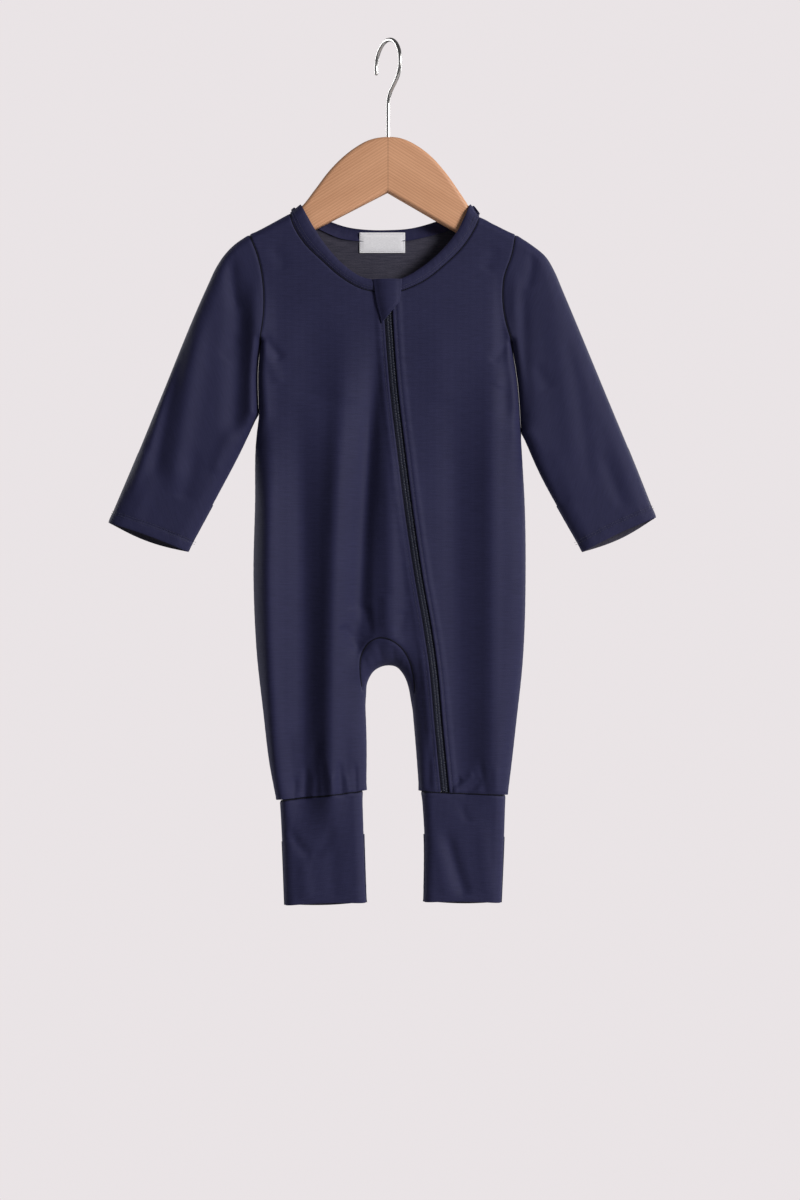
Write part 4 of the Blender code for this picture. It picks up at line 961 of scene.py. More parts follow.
def thread(name, dark, light, sheen=0.2):
    """Twisted sewing thread."""
    material = finish_named(name, light, 0.7, Sheen_Weight=sheen, Specular_IOR_Level=0.2)
    paint = Painter(material)
    twist = paint.noise(paint.stretched(paint.place(), (2500, 2500, 900)), 1.0, 2.0)
    paint.link(paint.ramp(twist, 0.35, 0.65, dark, light), paint.shader.inputs["Base Color"])
    paint.bump(twist, 0.05 * MM, 0.5)
    return material


def metal(name, color, roughness):
    """Polished wire or cast metal with faint drawing marks."""
    material = finish_named(name, color, roughness, 1.0)
    paint = Painter(material)
    marks = paint.noise(paint.stretched(paint.place(), (900, 900, 120)), 1.0, 3.0)
    wide = paint.noise(paint.stretched(paint.place(), (60, 60, 60)), 1.0, 2.0)
    dullness = paint.fit(paint.total((marks, 0.5), (wide, 0.5)), 0.35, 0.65, roughness - 0.07, roughness + 0.10)
    paint.link(dullness, paint.shader.inputs["Roughness"])
    dark = tuple(part * 0.86 for part in color)
    paint.link(paint.ramp(wide, 0.35, 0.65, dark, color), paint.shader.inputs["Base Color"])
    paint.bump(marks, 0.02 * MM, 0.35)
    return material


def wood(name):
    """Pale reddish wood: grain that runs down along each shoulder, with a glue line in the middle."""
    material = finish_named(name, (0.52, 0.27, 0.15), 0.48, Coat_Weight=0.12, Coat_Roughness=0.35)
    paint = Painter(material)
    place = paint.place()
    apart = paint.node("ShaderNodeSeparateXYZ", {"Vector": place})
    # mirrored at the middle, then turned to follow the shoulders
    aside = paint.math("ABSOLUTE", apart.outputs["X"])
    folded = paint.node("ShaderNodeCombineXYZ", {"X": aside, "Y": apart.outputs["Y"], "Z": apart.outputs["Z"]})
    run = paint.stretched(folded.outputs["Vector"], (1, 1, 1), (0, math.radians(-32), 0))
    warp = paint.noise(paint.stretched(run, (12, 60, 60)), 1.0, 2.0)
    rings = paint.node("ShaderNodeTexWave", {
        "Vector": paint.stretched(run, (3, 60, 160)), "Scale": 0.9, "Distortion": 3.0, "Detail": 3.0,
        "Detail Scale": 1.2, "Detail Roughness": 0.6,
    }, wave_type="BANDS", bands_direction="Z", wave_profile="SAW").outputs["Fac"]
    pores = paint.noise(paint.stretched(run, (70, 2200, 2200)), 1.0, 2.0, 0.7)
    tone = paint.total((rings, 0.40), (warp, 0.45), (pores, 0.30))
    color = paint.ramp(tone, 0.28, 0.85, WOOD_DARK, WOOD_LIGHT)
    line = paint.fit(aside, 0.25 * MM, 0.55 * MM, 0.35, 0.0)
    color = paint.mix(line, color, (0.20, 0.09, 0.045, 1))
    paint.link(color, paint.shader.inputs["Base Color"])
    paint.link(paint.fit(pores, 0.3, 0.7, 0.42, 0.60), paint.shader.inputs["Roughness"])
    paint.bump(paint.total((pores, 1), (rings, 0.4)), 0.06 * MM, 0.5)
    return material


def satin_label(name):
    """White satin weave."""
    material = finish_named(name, (0.80, 0.80, 0.84), 0.55, Sheen_Weight=0.3, Sheen_Roughness=0.3)
    paint = Painter(material)
    flat = paint.weave()
    threads = paint.noise(paint.stretched(flat, (500, 2600, 1)), 1.0, 2.0)
    color = paint.ramp(threads, 0.3, 0.7, (0.70, 0.70, 0.74), (0.84, 0.84, 0.88))
    paint.link(color, paint.shader.inputs["Base Color"])
    paint.bump(threads, 0.06 * MM, 0.6)
    return material


def plaster(name):
    """A plain pale floor."""
    material = finish_named(name, (0.72, 0.70, 0.70), 0.9)
    paint = Painter(material)
    mottle = paint.noise(paint.stretched(paint.place(), (2, 2, 2)), 1.0, 3.0)
    paint.link(paint.ramp(mottle, 0.3, 0.7, (0.70, 0.68, 0.68), (0.74, 0.72, 0.72)),
               paint.shader.inputs["Base Color"])
    return material


# ---------------------------------------------------------------- seam lines


def leg_end(outer, inner):
    """The seam between a leg and its cuff."""
    return np.array([(outer.x, outer.z), (inner.x, inner.z)]) + [0, SEAM_GAP / 2]


def both_hands(right, left):
    """The smooth lines of a pair of tables, without their rounding."""
    return {hand: joined(*places_of(table)) for hand, table in (("right", right), ("left", left))}


ARMHOLES = both_hands(ARMHOLE_RIGHT, ARMHOLE_LEFT)
SHOULDERS = both_hands(SHOULDER_RIGHT, SHOULDER_LEFT)
SIDES = both_hands(SIDE_RIGHT, SIDE_LEFT)
UNDERARMS = both_hands(SLEEVE_UNDER_RIGHT, SLEEVE_UNDER_LEFT)
INSEAMS = both_hands(INSEAM_RIGHT, INSEAM_LEFT)
NECK_FRONTS = both_hands(NECK_RIGHT, NECK_LEFT)
LEG_ENDS = {
    "right": leg_end(CUFF_RIGHT_OUTER[0], CUFF_RIGHT_INNER[0]),
    "left": leg_end(CUFF_LEFT_OUTER[0], CUFF_LEFT_INNER[0]),
}
GUSSET_LINE = joined(GUSSET_SEAM)
NECK_BACK_LINE = joined(NECK_BACK)

PLAIN, FOLDED = False, True
BODY_SEAMS = [(ARMHOLES["right"], PLAIN), (ARMHOLES["left"], PLAIN)]
for pair in (SIDES, SHOULDERS, INSEAMS):
    BODY_SEAMS += [(pair["right"], FOLDED), (pair["left"], FOLDED)]
BODY_SEAMS += [(LEG_ENDS["right"], PLAIN), (LEG_ENDS["left"], PLAIN), (GUSSET_LINE, PLAIN)]
FRONT_SEAMS = BODY_SEAMS + [(NECK_FRONTS["right"], PLAIN), (NECK_FRONTS["left"], PLAIN)]
BACK_SEAMS = BODY_SEAMS + [(NECK_BACK_LINE, PLAIN)]


# ---------------------------------------------------------------- body panels


def zip_edge(offset):
    """The zip's middle line moved sideways."""
    return smooth(ZIP_LINE)[:, :2] + [offset, 0]


def first_at(heights, top):
    """The number of the first row that is no higher than this."""
    return int(np.nonzero(np.asarray(heights) <= top + 1e-6)[0][0])


def side_folds(rows, inseam_top):
    """Which borders of a panel are folds: the shoulder, the side below the underarm, and the inseam."""
    side_start = first_at([row.outer for row in rows], SLIT_RIGHT[0].z)
    folds = [(0, slice(None)), (slice(side_start, None), 0)]
    if inseam_top is not None:
        folds.append((slice(first_at([row.inner for row in rows], inseam_top), None), -1))
    return folds


def step_down(distance, reach, soft):
    """1 up to `reach` from a line and 0 past it, with a soft step between."""
    return 1 / (1 + np.exp((distance - reach) / soft))


def beside_zip(places):
    """How high the doubled cloth beside the zip stands, dented along its topstitch, and its wall."""
    middle = x_at(joined(ZIP_LINE), places[..., 1])
    distance = np.abs(places[..., 0] - middle) - ZIP_OPENING / 2
    doubled = step_down(distance, FACING, FACING_SOFT)
    dent = TOPSTITCH_DENT * bell(distance - TOPSTITCH, TOPSTITCH_WIDTH)
    edge = EDGE_DROP * np.exp(-np.maximum(distance, 0) / 0.45)
    wave = 1 + FACING_WAVE * uneven(-places[..., 1] * 0.6, 3)
    return FACING_LIFT * doubled * wave - dent - edge, wall_of(doubled)


def wall_of(doubled):
    """How thick the cloth is where this share of it is folded over."""
    return CLOTH + (DOUBLED - CLOTH) * doubled


def front_panel_right():
    """From the right side over the middle to the zip, and down the inner side of the left leg."""
    rows = subdivided(FRONT_RIGHT_ROWS + LEG_RIGHT_ROWS[1:], FINE)
    slit, side, inseam = places_of(SLIT_RIGHT, SIDE_RIGHT, INSEAM_RIGHT)
    seam = GUSSET_SEAM[:5][::-1]
    inner = joined(NECK_RIGHT[:6], CENTRE, seam, [seam[-1], inseam[0]], inseam)
    sheet = Sheet(seams=FRONT_SEAMS)
    main = strip(joined(ARMHOLE_RIGHT, slit, side), inner, rows, packed(PANEL_COLUMNS))
    lift, wall = beside_zip(main)
    sheet.add_patch(main, FRONT, side_folds(rows, inseam[0].z), lift, wall)
    middle = [row.inner for row in rows if CENTRE[-1].z - 1e-6 <= row.inner <= CENTRE[0].z + 1e-6]
    drop = [-row.outer for row in ZIP_SIDE_ROWS]
    zip_rows = [Rows(z, float(np.interp(-z, drop, [row.inner for row in ZIP_SIDE_ROWS]))) for z in middle]
    shares = 1 - (1 - np.linspace(0, 1, ZIP_COLUMNS + 1)) ** 1.3
    edge = zip_edge(-ZIP_OPENING / 2)
    places = strip(joined(CENTRE), edge, zip_rows, shares)
    neckline = joined(NECK_RIGHT[5:])
    fade = [max(0.0, 1 - (zip_rows[0].outer - row.outer) / NECK_FADE) for row in zip_rows]
    places = places + np.array(fade)[:, None, None] * (along(neckline, shares) - places[0])[None]
    lift, wall = beside_zip(places)
    sheet.add_patch(places, FRONT, (), lift, wall)
    (inseam,) = places_of(INSEAM_LEFT)
    leg_rows = subdivided(ZIP_LEG_ROWS, FINE)
    leg_edge = joined(GUSSET_SEAM[4:], [GUSSET_SEAM[-1], inseam[0]], inseam)
    start = first_at([row.outer for row in leg_rows], inseam[0].z)
    places = strip(leg_edge, edge, leg_rows, shares)
    lift, wall = beside_zip(places)
    sheet.add_patch(places, FRONT, [(slice(start, None), 0)], lift, wall)
    sheet.make("front_panel_right_cloth", NAVY, NAVY_REVERSE)


def front_panel_left():
    """From the zip to the left side."""
    rows = subdivided(FRONT_LEFT_ROWS, FINE)
    slit, side = places_of(SLIT_LEFT, SIDE_LEFT)
    edge = zip_edge(ZIP_OPENING / 2)
    inner = np.vstack([joined(NECK_LEFT), edge[edge[:, 1] < NECK_LEFT[-1].z]])
    sheet = Sheet(seams=FRONT_SEAMS)
    main = strip(joined(ARMHOLE_LEFT, slit, side), inner, rows, packed(PANEL_COLUMNS))
    lift, wall = beside_zip(main)
    sheet.add_patch(main, FRONT, side_folds(rows, None), lift, wall)
    sheet.make("front_panel_left_cloth", NAVY, NAVY_REVERSE)


def add_back_half(sheet, leg_rows, armhole, slit, side, neck, seam, inseam):
    """Half of the back, from its side to the middle line, and down its leg."""
    rows = subdivided(BACK_ROWS + leg_rows[1:], FINE)
    slit, side, inseam = places_of(slit, side, inseam)
    shares = packed(BACK_COLUMNS)
    middle = joined([neck[-1], seam[0]], seam, [seam[-1], inseam[0]], inseam)
    places = strip(joined(armhole, slit, side), middle, rows, shares)
    # the first rows follow the shoulder and the neck seam, and straighten out on the way down
    top = np.vstack([
        along(joined([armhole[0], neck[0]]), np.linspace(0, 1, SHOULDER_COLUMNS + 1)),
        along(joined(neck), np.linspace(0, 1, len(shares) - SHOULDER_COLUMNS) ** NECK_SPREAD)[1:],
    ])
    fade = [max(0.0, (row.outer - slit[0].z) / (armhole[0].z - slit[0].z)) ** 1.5 for row in rows]
    places = places + np.array(fade)[:, None, None] * (top - places[0])[None]
    folds = side_folds(rows, inseam[0].z)
    folds[0] = (0, slice(SHOULDER_COLUMNS + 1))
    sheet.add_patch(places, BACK, folds)


def back_panel():
    sheet = Sheet(seams=BACK_SEAMS)
    seam_right, seam_left = GUSSET_SEAM[:5][::-1], GUSSET_SEAM[4:]
    add_back_half(
        sheet, LEG_RIGHT_ROWS, ARMHOLE_RIGHT, SLIT_RIGHT, SIDE_RIGHT, NECK_BACK[:5], seam_right, INSEAM_RIGHT
    )
    add_back_half(
        sheet, LEG_LEFT_ROWS, ARMHOLE_LEFT, SLIT_LEFT, SIDE_LEFT, NECK_BACK[4:][::-1], seam_left, INSEAM_LEFT
    )
    sheet.make("back_panel_cloth", NAVY, NAVY_REVERSE)


def gusset():
    """From its seam in front, under the crotch, to its seam behind."""
    seam = along(GUSSET_LINE, np.linspace(0, 1, GUSSET_ROWS))
    fold = along(joined(places_of(CROTCH)[0]), np.linspace(*GUSSET_ENDS, len(seam)))
    reach = np.linalg.norm(fold - seam, axis=1)[:, None]
    start = seam + (fold - seam) * SEAM_GAP / reach
    places = between(start, fold, 1 - (1 - np.linspace(0, 1, 18)) ** 2)
    sheet = Sheet(tube=True, seams=[(GUSSET_LINE, PLAIN)])
    for side in (FRONT, BACK):
        sheet.add_patch(places, side, [(slice(None), -1)])
    sheet.make("gusset_cloth", NAVY, NAVY_REVERSE)


# ---------------------------------------------------------------- sleeves and leg cuffs


def tube_places(outer, inner, start, rows, columns, drop):
    """A grid down half a tube, from the start edge to its hem, whose middle hangs lower by `drop`."""
    down = np.linspace(0, 1, rows + 1)
    shares = packed(columns)
    places = between(along(outer, down), along(inner, down), shares)
    if start is not None:
        bend = along(start, shares) - places[0]
        places = places + ((1 - down) ** 3)[:, None, None] * bend[None]
    direction = places[-1] - places[0]
    direction = direction / np.linalg.norm(direction, axis=1)[:, None]
    reach = np.clip(1 - (1 - down) * rows * 0.1, 0, 1)[:, None, None]
    return places + reach * (direction * (drop * np.sin(np.pi * shares))[:, None])[None]


def sleeve_places(side, armhole, top, slit, under, shift):
    drop = HEM_DROP if side == BACK else -HEM_RISE
    top, slit, under = places_of(top, slit, under)
    grid = tube_places(joined(top), joined(slit, under), joined(armhole), SLEEVE_ROWS, SLEEVE_COLUMNS, drop)
    return grid + [shift, 0]


def run_over(places, axis):
    """How far each place of a grid lies down it from its first row (0), or across from its first column (1)."""
    first = places[:, :1] if axis else places[:1]
    return np.cumsum(np.linalg.norm(np.diff(places, axis=axis, prepend=first), axis=2), axis=axis)


def hem_form(places, stitched=True):
    """Lift and wall over a tube whose end is folded in: a groove where stitched, and a rounded edge."""
    run = run_over(places, 0)
    up = run[-1] - run
    edge = EDGE_DROP * np.exp(-up / 0.6)
    if not stitched:
        return -edge, np.full_like(up, DOUBLED)
    hem = step_down(up, HEM_HEIGHT, 0.5)
    groove = HEM_GROOVE * bell(up - HEM_HEIGHT, 0.9)
    along_hem = run_of(places[-1]) * np.ones_like(up)
    wave = 0.3 * uneven(along_hem * 0.9, 5) * bell(up - HEM_HEIGHT, 4)
    return HEM_LIFT * hem - groove + wave - edge, wall_of(hem)


def flap_form(places, stitched=True):
    """Lift and wall of a flap that lies on the back of a tube, thin and close to it at both folds."""
    lift, wall = hem_form(places, stitched)
    across = run_over(places, 1)
    inside = 1 - np.exp(-np.minimum(across, across[:, -1:] - across) / FLAP_FADE)
    lift = FLAP_EDGE_LIFT + (lift + FLAP_LIFT - FLAP_EDGE_LIFT) * inside
    return lift, FLAP_EDGE_WALL + (wall - FLAP_EDGE_WALL) * inside


def tube_flat(places, side):
    """Lays a half tube out flat for its weave: across it, and down it."""
    across = run_over(places, 1)
    middle = across.shape[1] // 2
    across = across - across[:, middle:middle + 1]
    return np.stack([across if side == FRONT else BEHIND_WEAVE - across, run_over(places, 0)], axis=-1)


def sleeve(hand, shift, *curves):
    seams = [(ARMHOLES[hand] + [shift, 0], PLAIN), (UNDERARMS[hand] + [shift, 0], FOLDED)]
    sheet = Sheet(tube=True, seams=seams)
    ends = [(slice(None), 0), (slice(None), -1)]
    for side in (FRONT, BACK):
        places = sleeve_places(side, *curves, shift)
        lift, wall = hem_form(places)
        sheet.add_patch(places, side, ends, lift, wall, tube_flat(places, side))
    sheet.make(f"sleeve_{hand}_cloth", NAVY, NAVY_REVERSE, 0.35)
    flap = Sheet(seams=seams[1:])
    places = sleeve_places(BACK, *curves, shift)[FLAP_ROW:]
    lift, wall = flap_form(places)
    flap.add_patch(places, BACK, ends, lift, wall, tube_flat(places, BACK))
    flap.make(f"mitten_flap_{hand}_cloth", NAVY, NAVY_REVERSE, 0.35)


def leg_cuff(foot, outer, inner, edges):
    outer, inner = (joined(table) for table in places_of(outer, inner))
    seams = [(LEG_ENDS[foot] - [0, SEAM_GAP], PLAIN), (inner, FOLDED)]
    sheet = Sheet(edges, tube=True, seams=seams)
    folds = [(slice(None), 0), (slice(None), -1)]
    front = tube_places(outer, inner, None, CUFF_ROWS, CUFF_COLUMNS, -HEM_RISE)
    back = tube_places(outer, inner, None, CUFF_ROWS, CUFF_COLUMNS, CUFF_DROP)
    for places, side in ((front, FRONT), (back, BACK)):
        lift, wall = hem_form(places, stitched=False)
        sheet.add_patch(places, side, folds, lift - CUFF_SUNK, wall, tube_flat(places, side))
    sheet.make(f"leg_cuff_{foot}_cloth", NAVY, NAVY_REVERSE, 0.35)
    flap = Sheet(edges, seams=seams[1:])
    places = back[FOOT_FLAP_ROW:]
    lift, wall = flap_form(places, stitched=False)
    flap.add_patch(places, BACK, folds, lift, wall, tube_flat(places, BACK))
    flap.make(f"foot_flap_{foot}_cloth", NAVY, NAVY_REVERSE, 0.35)


# ---------------------------------------------------------------- neck, zip and label


def band_form(across, run, number):
    """How the rounded band stands over its seam and edge."""
    profile = np.interp(across, BAND_ACROSS, BAND_LIFT)[None, :]
    from_fold = np.minimum(run, run[-1] - run) if number == BACK_BAND else run
    risen = np.clip(from_fold / BAND_FLAT_END, 0.0, 1)[:, None]
    return profile * risen + 0.10 * uneven(run, number)[:, None] * np.sin(np.pi * across)[None, :] * risen


def neck_band():
    """A strip round the neck, open in front where the zip ends."""
    sheet = Sheet(tube=True)
    across = np.linspace(0.012, 1.0, 11)
    front, back = np.linspace(0, 1, BAND_COLUMNS + 1) ** BAND_SPREAD, packed(2 * BAND_COLUMNS)
    start, end = (0, slice(None)), (-1, slice(None))
    for number, side, seam, edge, share, folds, aside in (
        (0, FRONT, NECK_RIGHT, BAND_RIGHT, front, [start], 1000.0),
        (1, FRONT, NECK_LEFT, BAND_LEFT, front, [start], 1000.0),
        (BACK_BAND, BACK, NECK_BACK, BAND_BACK, back, [start, end], 1100.0),
    ):
        seam, edge = along(joined(seam), share), along(joined(edge), share)
        run = run_of(seam)
        flat = np.stack(np.broadcast_arrays(aside + 10 * across[None, :], run[:, None]), axis=-1)
        lift = band_form(across, run, number)
        sheet.add_patch(between(seam, edge, across), side, folds, lift, DOUBLED, flat)
    sheet.make("neck_band_cloth", NAVY, soften=0.5)


def zip_tapes():
    """The two tapes behind the folded edges, meeting under the teeth."""
    z = np.linspace(ZIP_TOP, ZIP_END, TAPE_ROWS + 1)
    middle = x_at(joined(ZIP_LINE), z)
    for hand, left, right in (("right", -TAPE_WIDTH, -HALF_GAP), ("left", HALF_GAP, TAPE_WIDTH)):
        outer, inner = (np.stack([middle + offset, z], axis=1) for offset in (left, right))
        places = between(outer, inner, np.linspace(0, 1, TAPE_COLUMNS + 1))
        sheet = Sheet()
        sheet.add_patch(places, FRONT, lift=-CLOTH - TAPE_DEPTH - TRIM, wall=TRIM)
        sheet.make(f"zip_tape_{hand}_woven", TAPE, soften=0.1)


def zip_guard():
    """A cloth tab over the zip's top end, sewn down along its right side and standing off at its left."""
    shares = np.linspace(0, 1, 21)
    lifts = np.interp(shares, *zip(*GUARD_LIFTS))
    lifts = np.convolve(np.pad(lifts, 2, mode="edge"), np.ones(5) / 5, mode="valid")
    down = np.linspace(0, 1, 31)
    places = between(along(joined(GUARD_RIGHT), down), along(joined(GUARD_LEFT), down), shares)
    border = np.minimum.reduce(np.broadcast_arrays(
        (1 - shares[None, :]) * 18, (1 - down[:, None]) * 26, down[:, None] * 26
    ))
    lift = lifts[None, :] - 0.35 * bell(border - 1.6, 0.8) - 0.4 * np.exp(-border / 0.5)
    sheet = Sheet()
    sheet.add_patch(places, FRONT, lift=lift, wall=DOUBLED)
    sheet.make("zip_guard_cloth", NAVY, soften=0.4)


def neck_label():
    """A blank woven label, sewn to the back inside the neck."""
    x, z = np.meshgrid(np.linspace(*LABEL_WIDTH, 41), np.linspace(*LABEL_HEIGHT, 21))
    border = np.minimum.reduce([
        x - LABEL_WIDTH[0], LABEL_WIDTH[1] - x, LABEL_HEIGHT[0] - z, z - LABEL_HEIGHT[1],
    ])
    swell = 0.35 * np.clip(border / 4, 0, 1) - 0.25 * bell(border - LABEL_STITCH, 0.6)
    sheet = Sheet()
    sheet.add_patch(np.stack([x, z], axis=-1), BACK, lift=-CLOTH - LABEL_DEPTH - swell, wall=LABEL_WALL)
    sheet.make("neck_label_woven", LABEL, soften=0.12)


# ---------------------------------------------------------------- stitches, painted seam shade and zip teeth


def tree_with(name, inputs):
    """A Geometry Nodes tree with a geometry input and output and these named inputs."""
    tree = bpy.data.node_groups.new(name, "GeometryNodeTree")
    tree.interface.new_socket("Geometry", in_out="INPUT", socket_type="NodeSocketGeometry")
    tree.interface.new_socket("Geometry", in_out="OUTPUT", socket_type="NodeSocketGeometry")
    for label, kind in inputs:
        tree.interface.new_socket(label, in_out="INPUT", socket_type=kind)
    return tree


def wire(tree, kind, **settings):
    node = tree.nodes.new(kind)
    for key, value in settings.items():
        setattr(node, key, value)
    return node


def row_of_beads():
    """Small rounded beads one after another along every line, turned along it."""
    tree = tree_with("row of beads", [
        ("Pitch", "NodeSocketFloat"), ("Bead Length", "NodeSocketFloat"), ("Bead Width", "NodeSocketFloat"),
        ("Bead Height", "NodeSocketFloat"), ("Finish", "NodeSocketMaterial"),
    ])
    given, result = wire(tree, "NodeGroupInput"), wire(tree, "NodeGroupOutput")
    curve = wire(tree, "GeometryNodeMeshToCurve")
    spaced = wire(tree, "GeometryNodeResampleCurve", mode="LENGTH")
    bead = wire(tree, "GeometryNodeMeshUVSphere")
    for label, value in (("Segments", 8), ("Rings", 5), ("Radius", 0.5)):
        bead.inputs[label].default_value = value
    size = wire(tree, "ShaderNodeCombineXYZ")
    tangent = wire(tree, "GeometryNodeInputTangent")
    lengthways = wire(tree, "FunctionNodeAlignRotationToVector", axis="Z")
    upright = wire(tree, "FunctionNodeAlignRotationToVector", axis="Y", pivot_axis="Z")
    outward = wire(tree, "GeometryNodeInputNamedAttribute", data_type="FLOAT_VECTOR")
    outward.inputs["Name"].default_value = "outward"
    shared = wire(tree, "GeometryNodeInstanceOnPoints")
    real = wire(tree, "GeometryNodeRealizeInstances")
    finish = wire(tree, "GeometryNodeSetMaterial")
    for source, output, target, socket in (
        (given, "Geometry", curve, "Mesh"),
        (curve, "Curve", spaced, "Curve"),
        (given, "Pitch", spaced, "Length"),
        (given, "Bead Width", size, "X"),
        (given, "Bead Height", size, "Y"),
        (given, "Bead Length", size, "Z"),
        (tangent, "Tangent", lengthways, "Vector"),
        (lengthways, "Rotation", upright, "Rotation"),
        (outward, "Attribute", upright, "Vector"),
        (spaced, "Curve", shared, "Points"),
        (bead, "Mesh", shared, "Instance"),
        (upright, "Rotation", shared, "Rotation"),
        (size, "Vector", shared, "Scale"),
        (shared, "Instances", real, "Geometry"),
        (real, "Geometry", finish, "Geometry"),
        (given, "Finish", finish, "Material"),
        (finish, "Geometry", result, "Geometry"),
    ):
        tree.links.new(source.outputs[output], target.inputs[socket])
    return tree


def beads(name, lines, finish, pitch, length, width, height):
    """One piece of beads along lines, each a pair of points and outward directions in millimetres."""
    points = np.vstack([line for line, _ in lines])
    outward = np.vstack([direction for _, direction in lines])
    edges, start = [], 0
    for line, _ in lines:
        edges += [(start + i, start + i + 1) for i in range(len(line) - 1)]
        start += len(line)
    data = bpy.data.meshes.new(name)
    data.from_pydata(points * MM, edges, [])
    held = data.attributes.new("outward", "FLOAT_VECTOR", "POINT")
    held.data.foreach_set("vector", outward.astype(np.float32).ravel())
    made = placed(name, data)
    modifier = made.modifiers.new("beads", "NODES")
    modifier.node_group = BEADS
    values = {
        "Pitch": pitch * MM, "Bead Length": length * MM, "Bead Width": width * MM,
        "Bead Height": height * MM, "Finish": finish,
    }
    for socket in BEADS.interface.items_tree:
        if socket.in_out == "INPUT" and socket.name in values:
            modifier[socket.identifier] = values[socket.name]
    plain(made)
    made.data.shade_smooth()


def line_on(sheet, places, side, lift, height):
    """A line on a sheet's surface: its points at this height above it, and the outward directions."""
    points, outward = sheet.surface(places[None], side, (), lift)
    return points + outward * height, outward


def zip_stitches():
    """The topstitch down both folded edges beside the zip."""
    lines = []
    sheet = Sheet(seams=FRONT_SEAMS)
    start, end = TOPSTITCH_RUN
    for offset in (-ZIP_OPENING / 2 - TOPSTITCH, ZIP_OPENING / 2 + TOPSTITCH):
        edge = zip_edge(offset)
        edge = along(edge[(edge[:, 1] < start) & (edge[:, 1] > end)], np.linspace(0, 1, 300))
        lift, _ = beside_zip(edge)
        lines.append(line_on(sheet, edge, FRONT, lift[None], 0.05))
    beads("zip_topstitch", lines, THREAD, 2.6, 2.1, 0.42, 0.36)


def band_stitches():
    """Two fine rows on the band beside its seam."""
    lines = []
    sheet = Sheet(tube=True)
    share = np.linspace(0.004, 0.996, 260)
    for share_across in BAND_STITCHES:
        for seam, edge, side in (
            (NECK_RIGHT, BAND_RIGHT, FRONT), (NECK_LEFT, BAND_LEFT, FRONT), (NECK_BACK, BAND_BACK, BACK),
        ):
            seam, edge = along(joined(seam), share), along(joined(edge), share)
            places = seam + (edge - seam) * share_across
            profile = np.interp(share_across, BAND_ACROSS, BAND_LIFT)
            lines.append(line_on(sheet, places, side, profile, 0.06))
    beads("neck_band_stitches", lines, THREAD, 2.2, 1.8, 0.36, 0.32)


def hem_line(places, up_by):
    """A line round half a tube at this height above its hem."""
    run = run_over(places, 0)
    up = run[-1] - run
    columns = range(places.shape[1])
    return np.array([[np.interp(-up_by, -up[:, i], places[:, i, axis]) for axis in (0, 1)] for i in columns])


def hem_stitches():
    """Two rows round each sleeve hem."""
    lines = []
    for hand, shift, *curves in SLEEVES:
        sheet = Sheet(tube=True, seams=[(UNDERARMS[hand] + [shift, 0], FOLDED)])
        for side, raised in ((FRONT, HEM_RAISED), (BACK, HEM_RAISED + FLAP_LIFT)):
            places = sleeve_places(side, *curves, shift)
            for up in HEM_STITCHES:
                lines.append(line_on(sheet, hem_line(places, up)[1:-1], side, raised, 0.0))
    beads("hem_stitches", lines, THREAD, 2.4, 1.9, 0.36, 0.32)


def seam_shade_beads():
    """Nearly black beads at the bottom of each seam, in front and behind: painted shade for the shadow in each
    seam's groove.
    """
    lines = []
    sheet = Sheet(seams=FRONT_SEAMS)
    both = (ARMHOLES["right"], ARMHOLES["left"], GUSSET_LINE, LEG_ENDS["right"], LEG_ENDS["left"])
    runs = [(curve, side) for curve in both for side in (FRONT, BACK)]
    runs += [(NECK_FRONTS["right"], FRONT), (NECK_FRONTS["left"], FRONT), (NECK_BACK_LINE, BACK)]
    for curve, side in runs:
        places = along(curve[:, :2], np.linspace(*SEAM_SHADE_SPAN, 240))
        lines.append(line_on(sheet, places, side, 0.0, SEAM_SHADE_LIFT))
    beads("seam_shade_beads", lines, PAINTED_SEAM_SHADE, 1.6, 1.9, 1.05, 0.7)


def label_stitches():
    """A fine row round the label."""
    left, right = LABEL_WIDTH[0] + LABEL_STITCH, LABEL_WIDTH[1] - LABEL_STITCH
    top, bottom = LABEL_HEIGHT[0] - LABEL_STITCH, LABEL_HEIGHT[1] + LABEL_STITCH
    corners = np.array([(left, top), (right, top), (right, bottom), (left, bottom), (left, top)])
    places = along(corners, np.linspace(0, 1, 160))
    points, outward = Sheet().surface(places[None], BACK, (), -CLOTH - LABEL_DEPTH - LABEL_WALL - 0.12)
    beads("label_stitches", [(points - outward * 0.05, -outward)], LABEL_THREAD, 1.9, 1.5, 0.3, 0.26)


def zip_coil():
    """Two rows of nylon teeth that mesh down the middle of the zip."""
    lines = []
    sheet = Sheet()
    for offset, shift in ((-TOOTH_OFFSET, 0.0), (TOOTH_OFFSET, TOOTH_PITCH / 2)):
        z = np.linspace(ZIP_TOP - shift, ZIP_END - shift + TOOTH_PITCH / 2, 330)
        places = np.stack([x_at(joined(ZIP_LINE), z) + offset, z], axis=1)
        lines.append(line_on(sheet, places, FRONT, -TOOTH_SUNK, 0.0))
    beads("zip_coil_teeth", lines, NYLON, TOOTH_PITCH, 0.95, TOOTH_LENGTH, 1.1)


# ---------------------------------------------------------------- the hanger


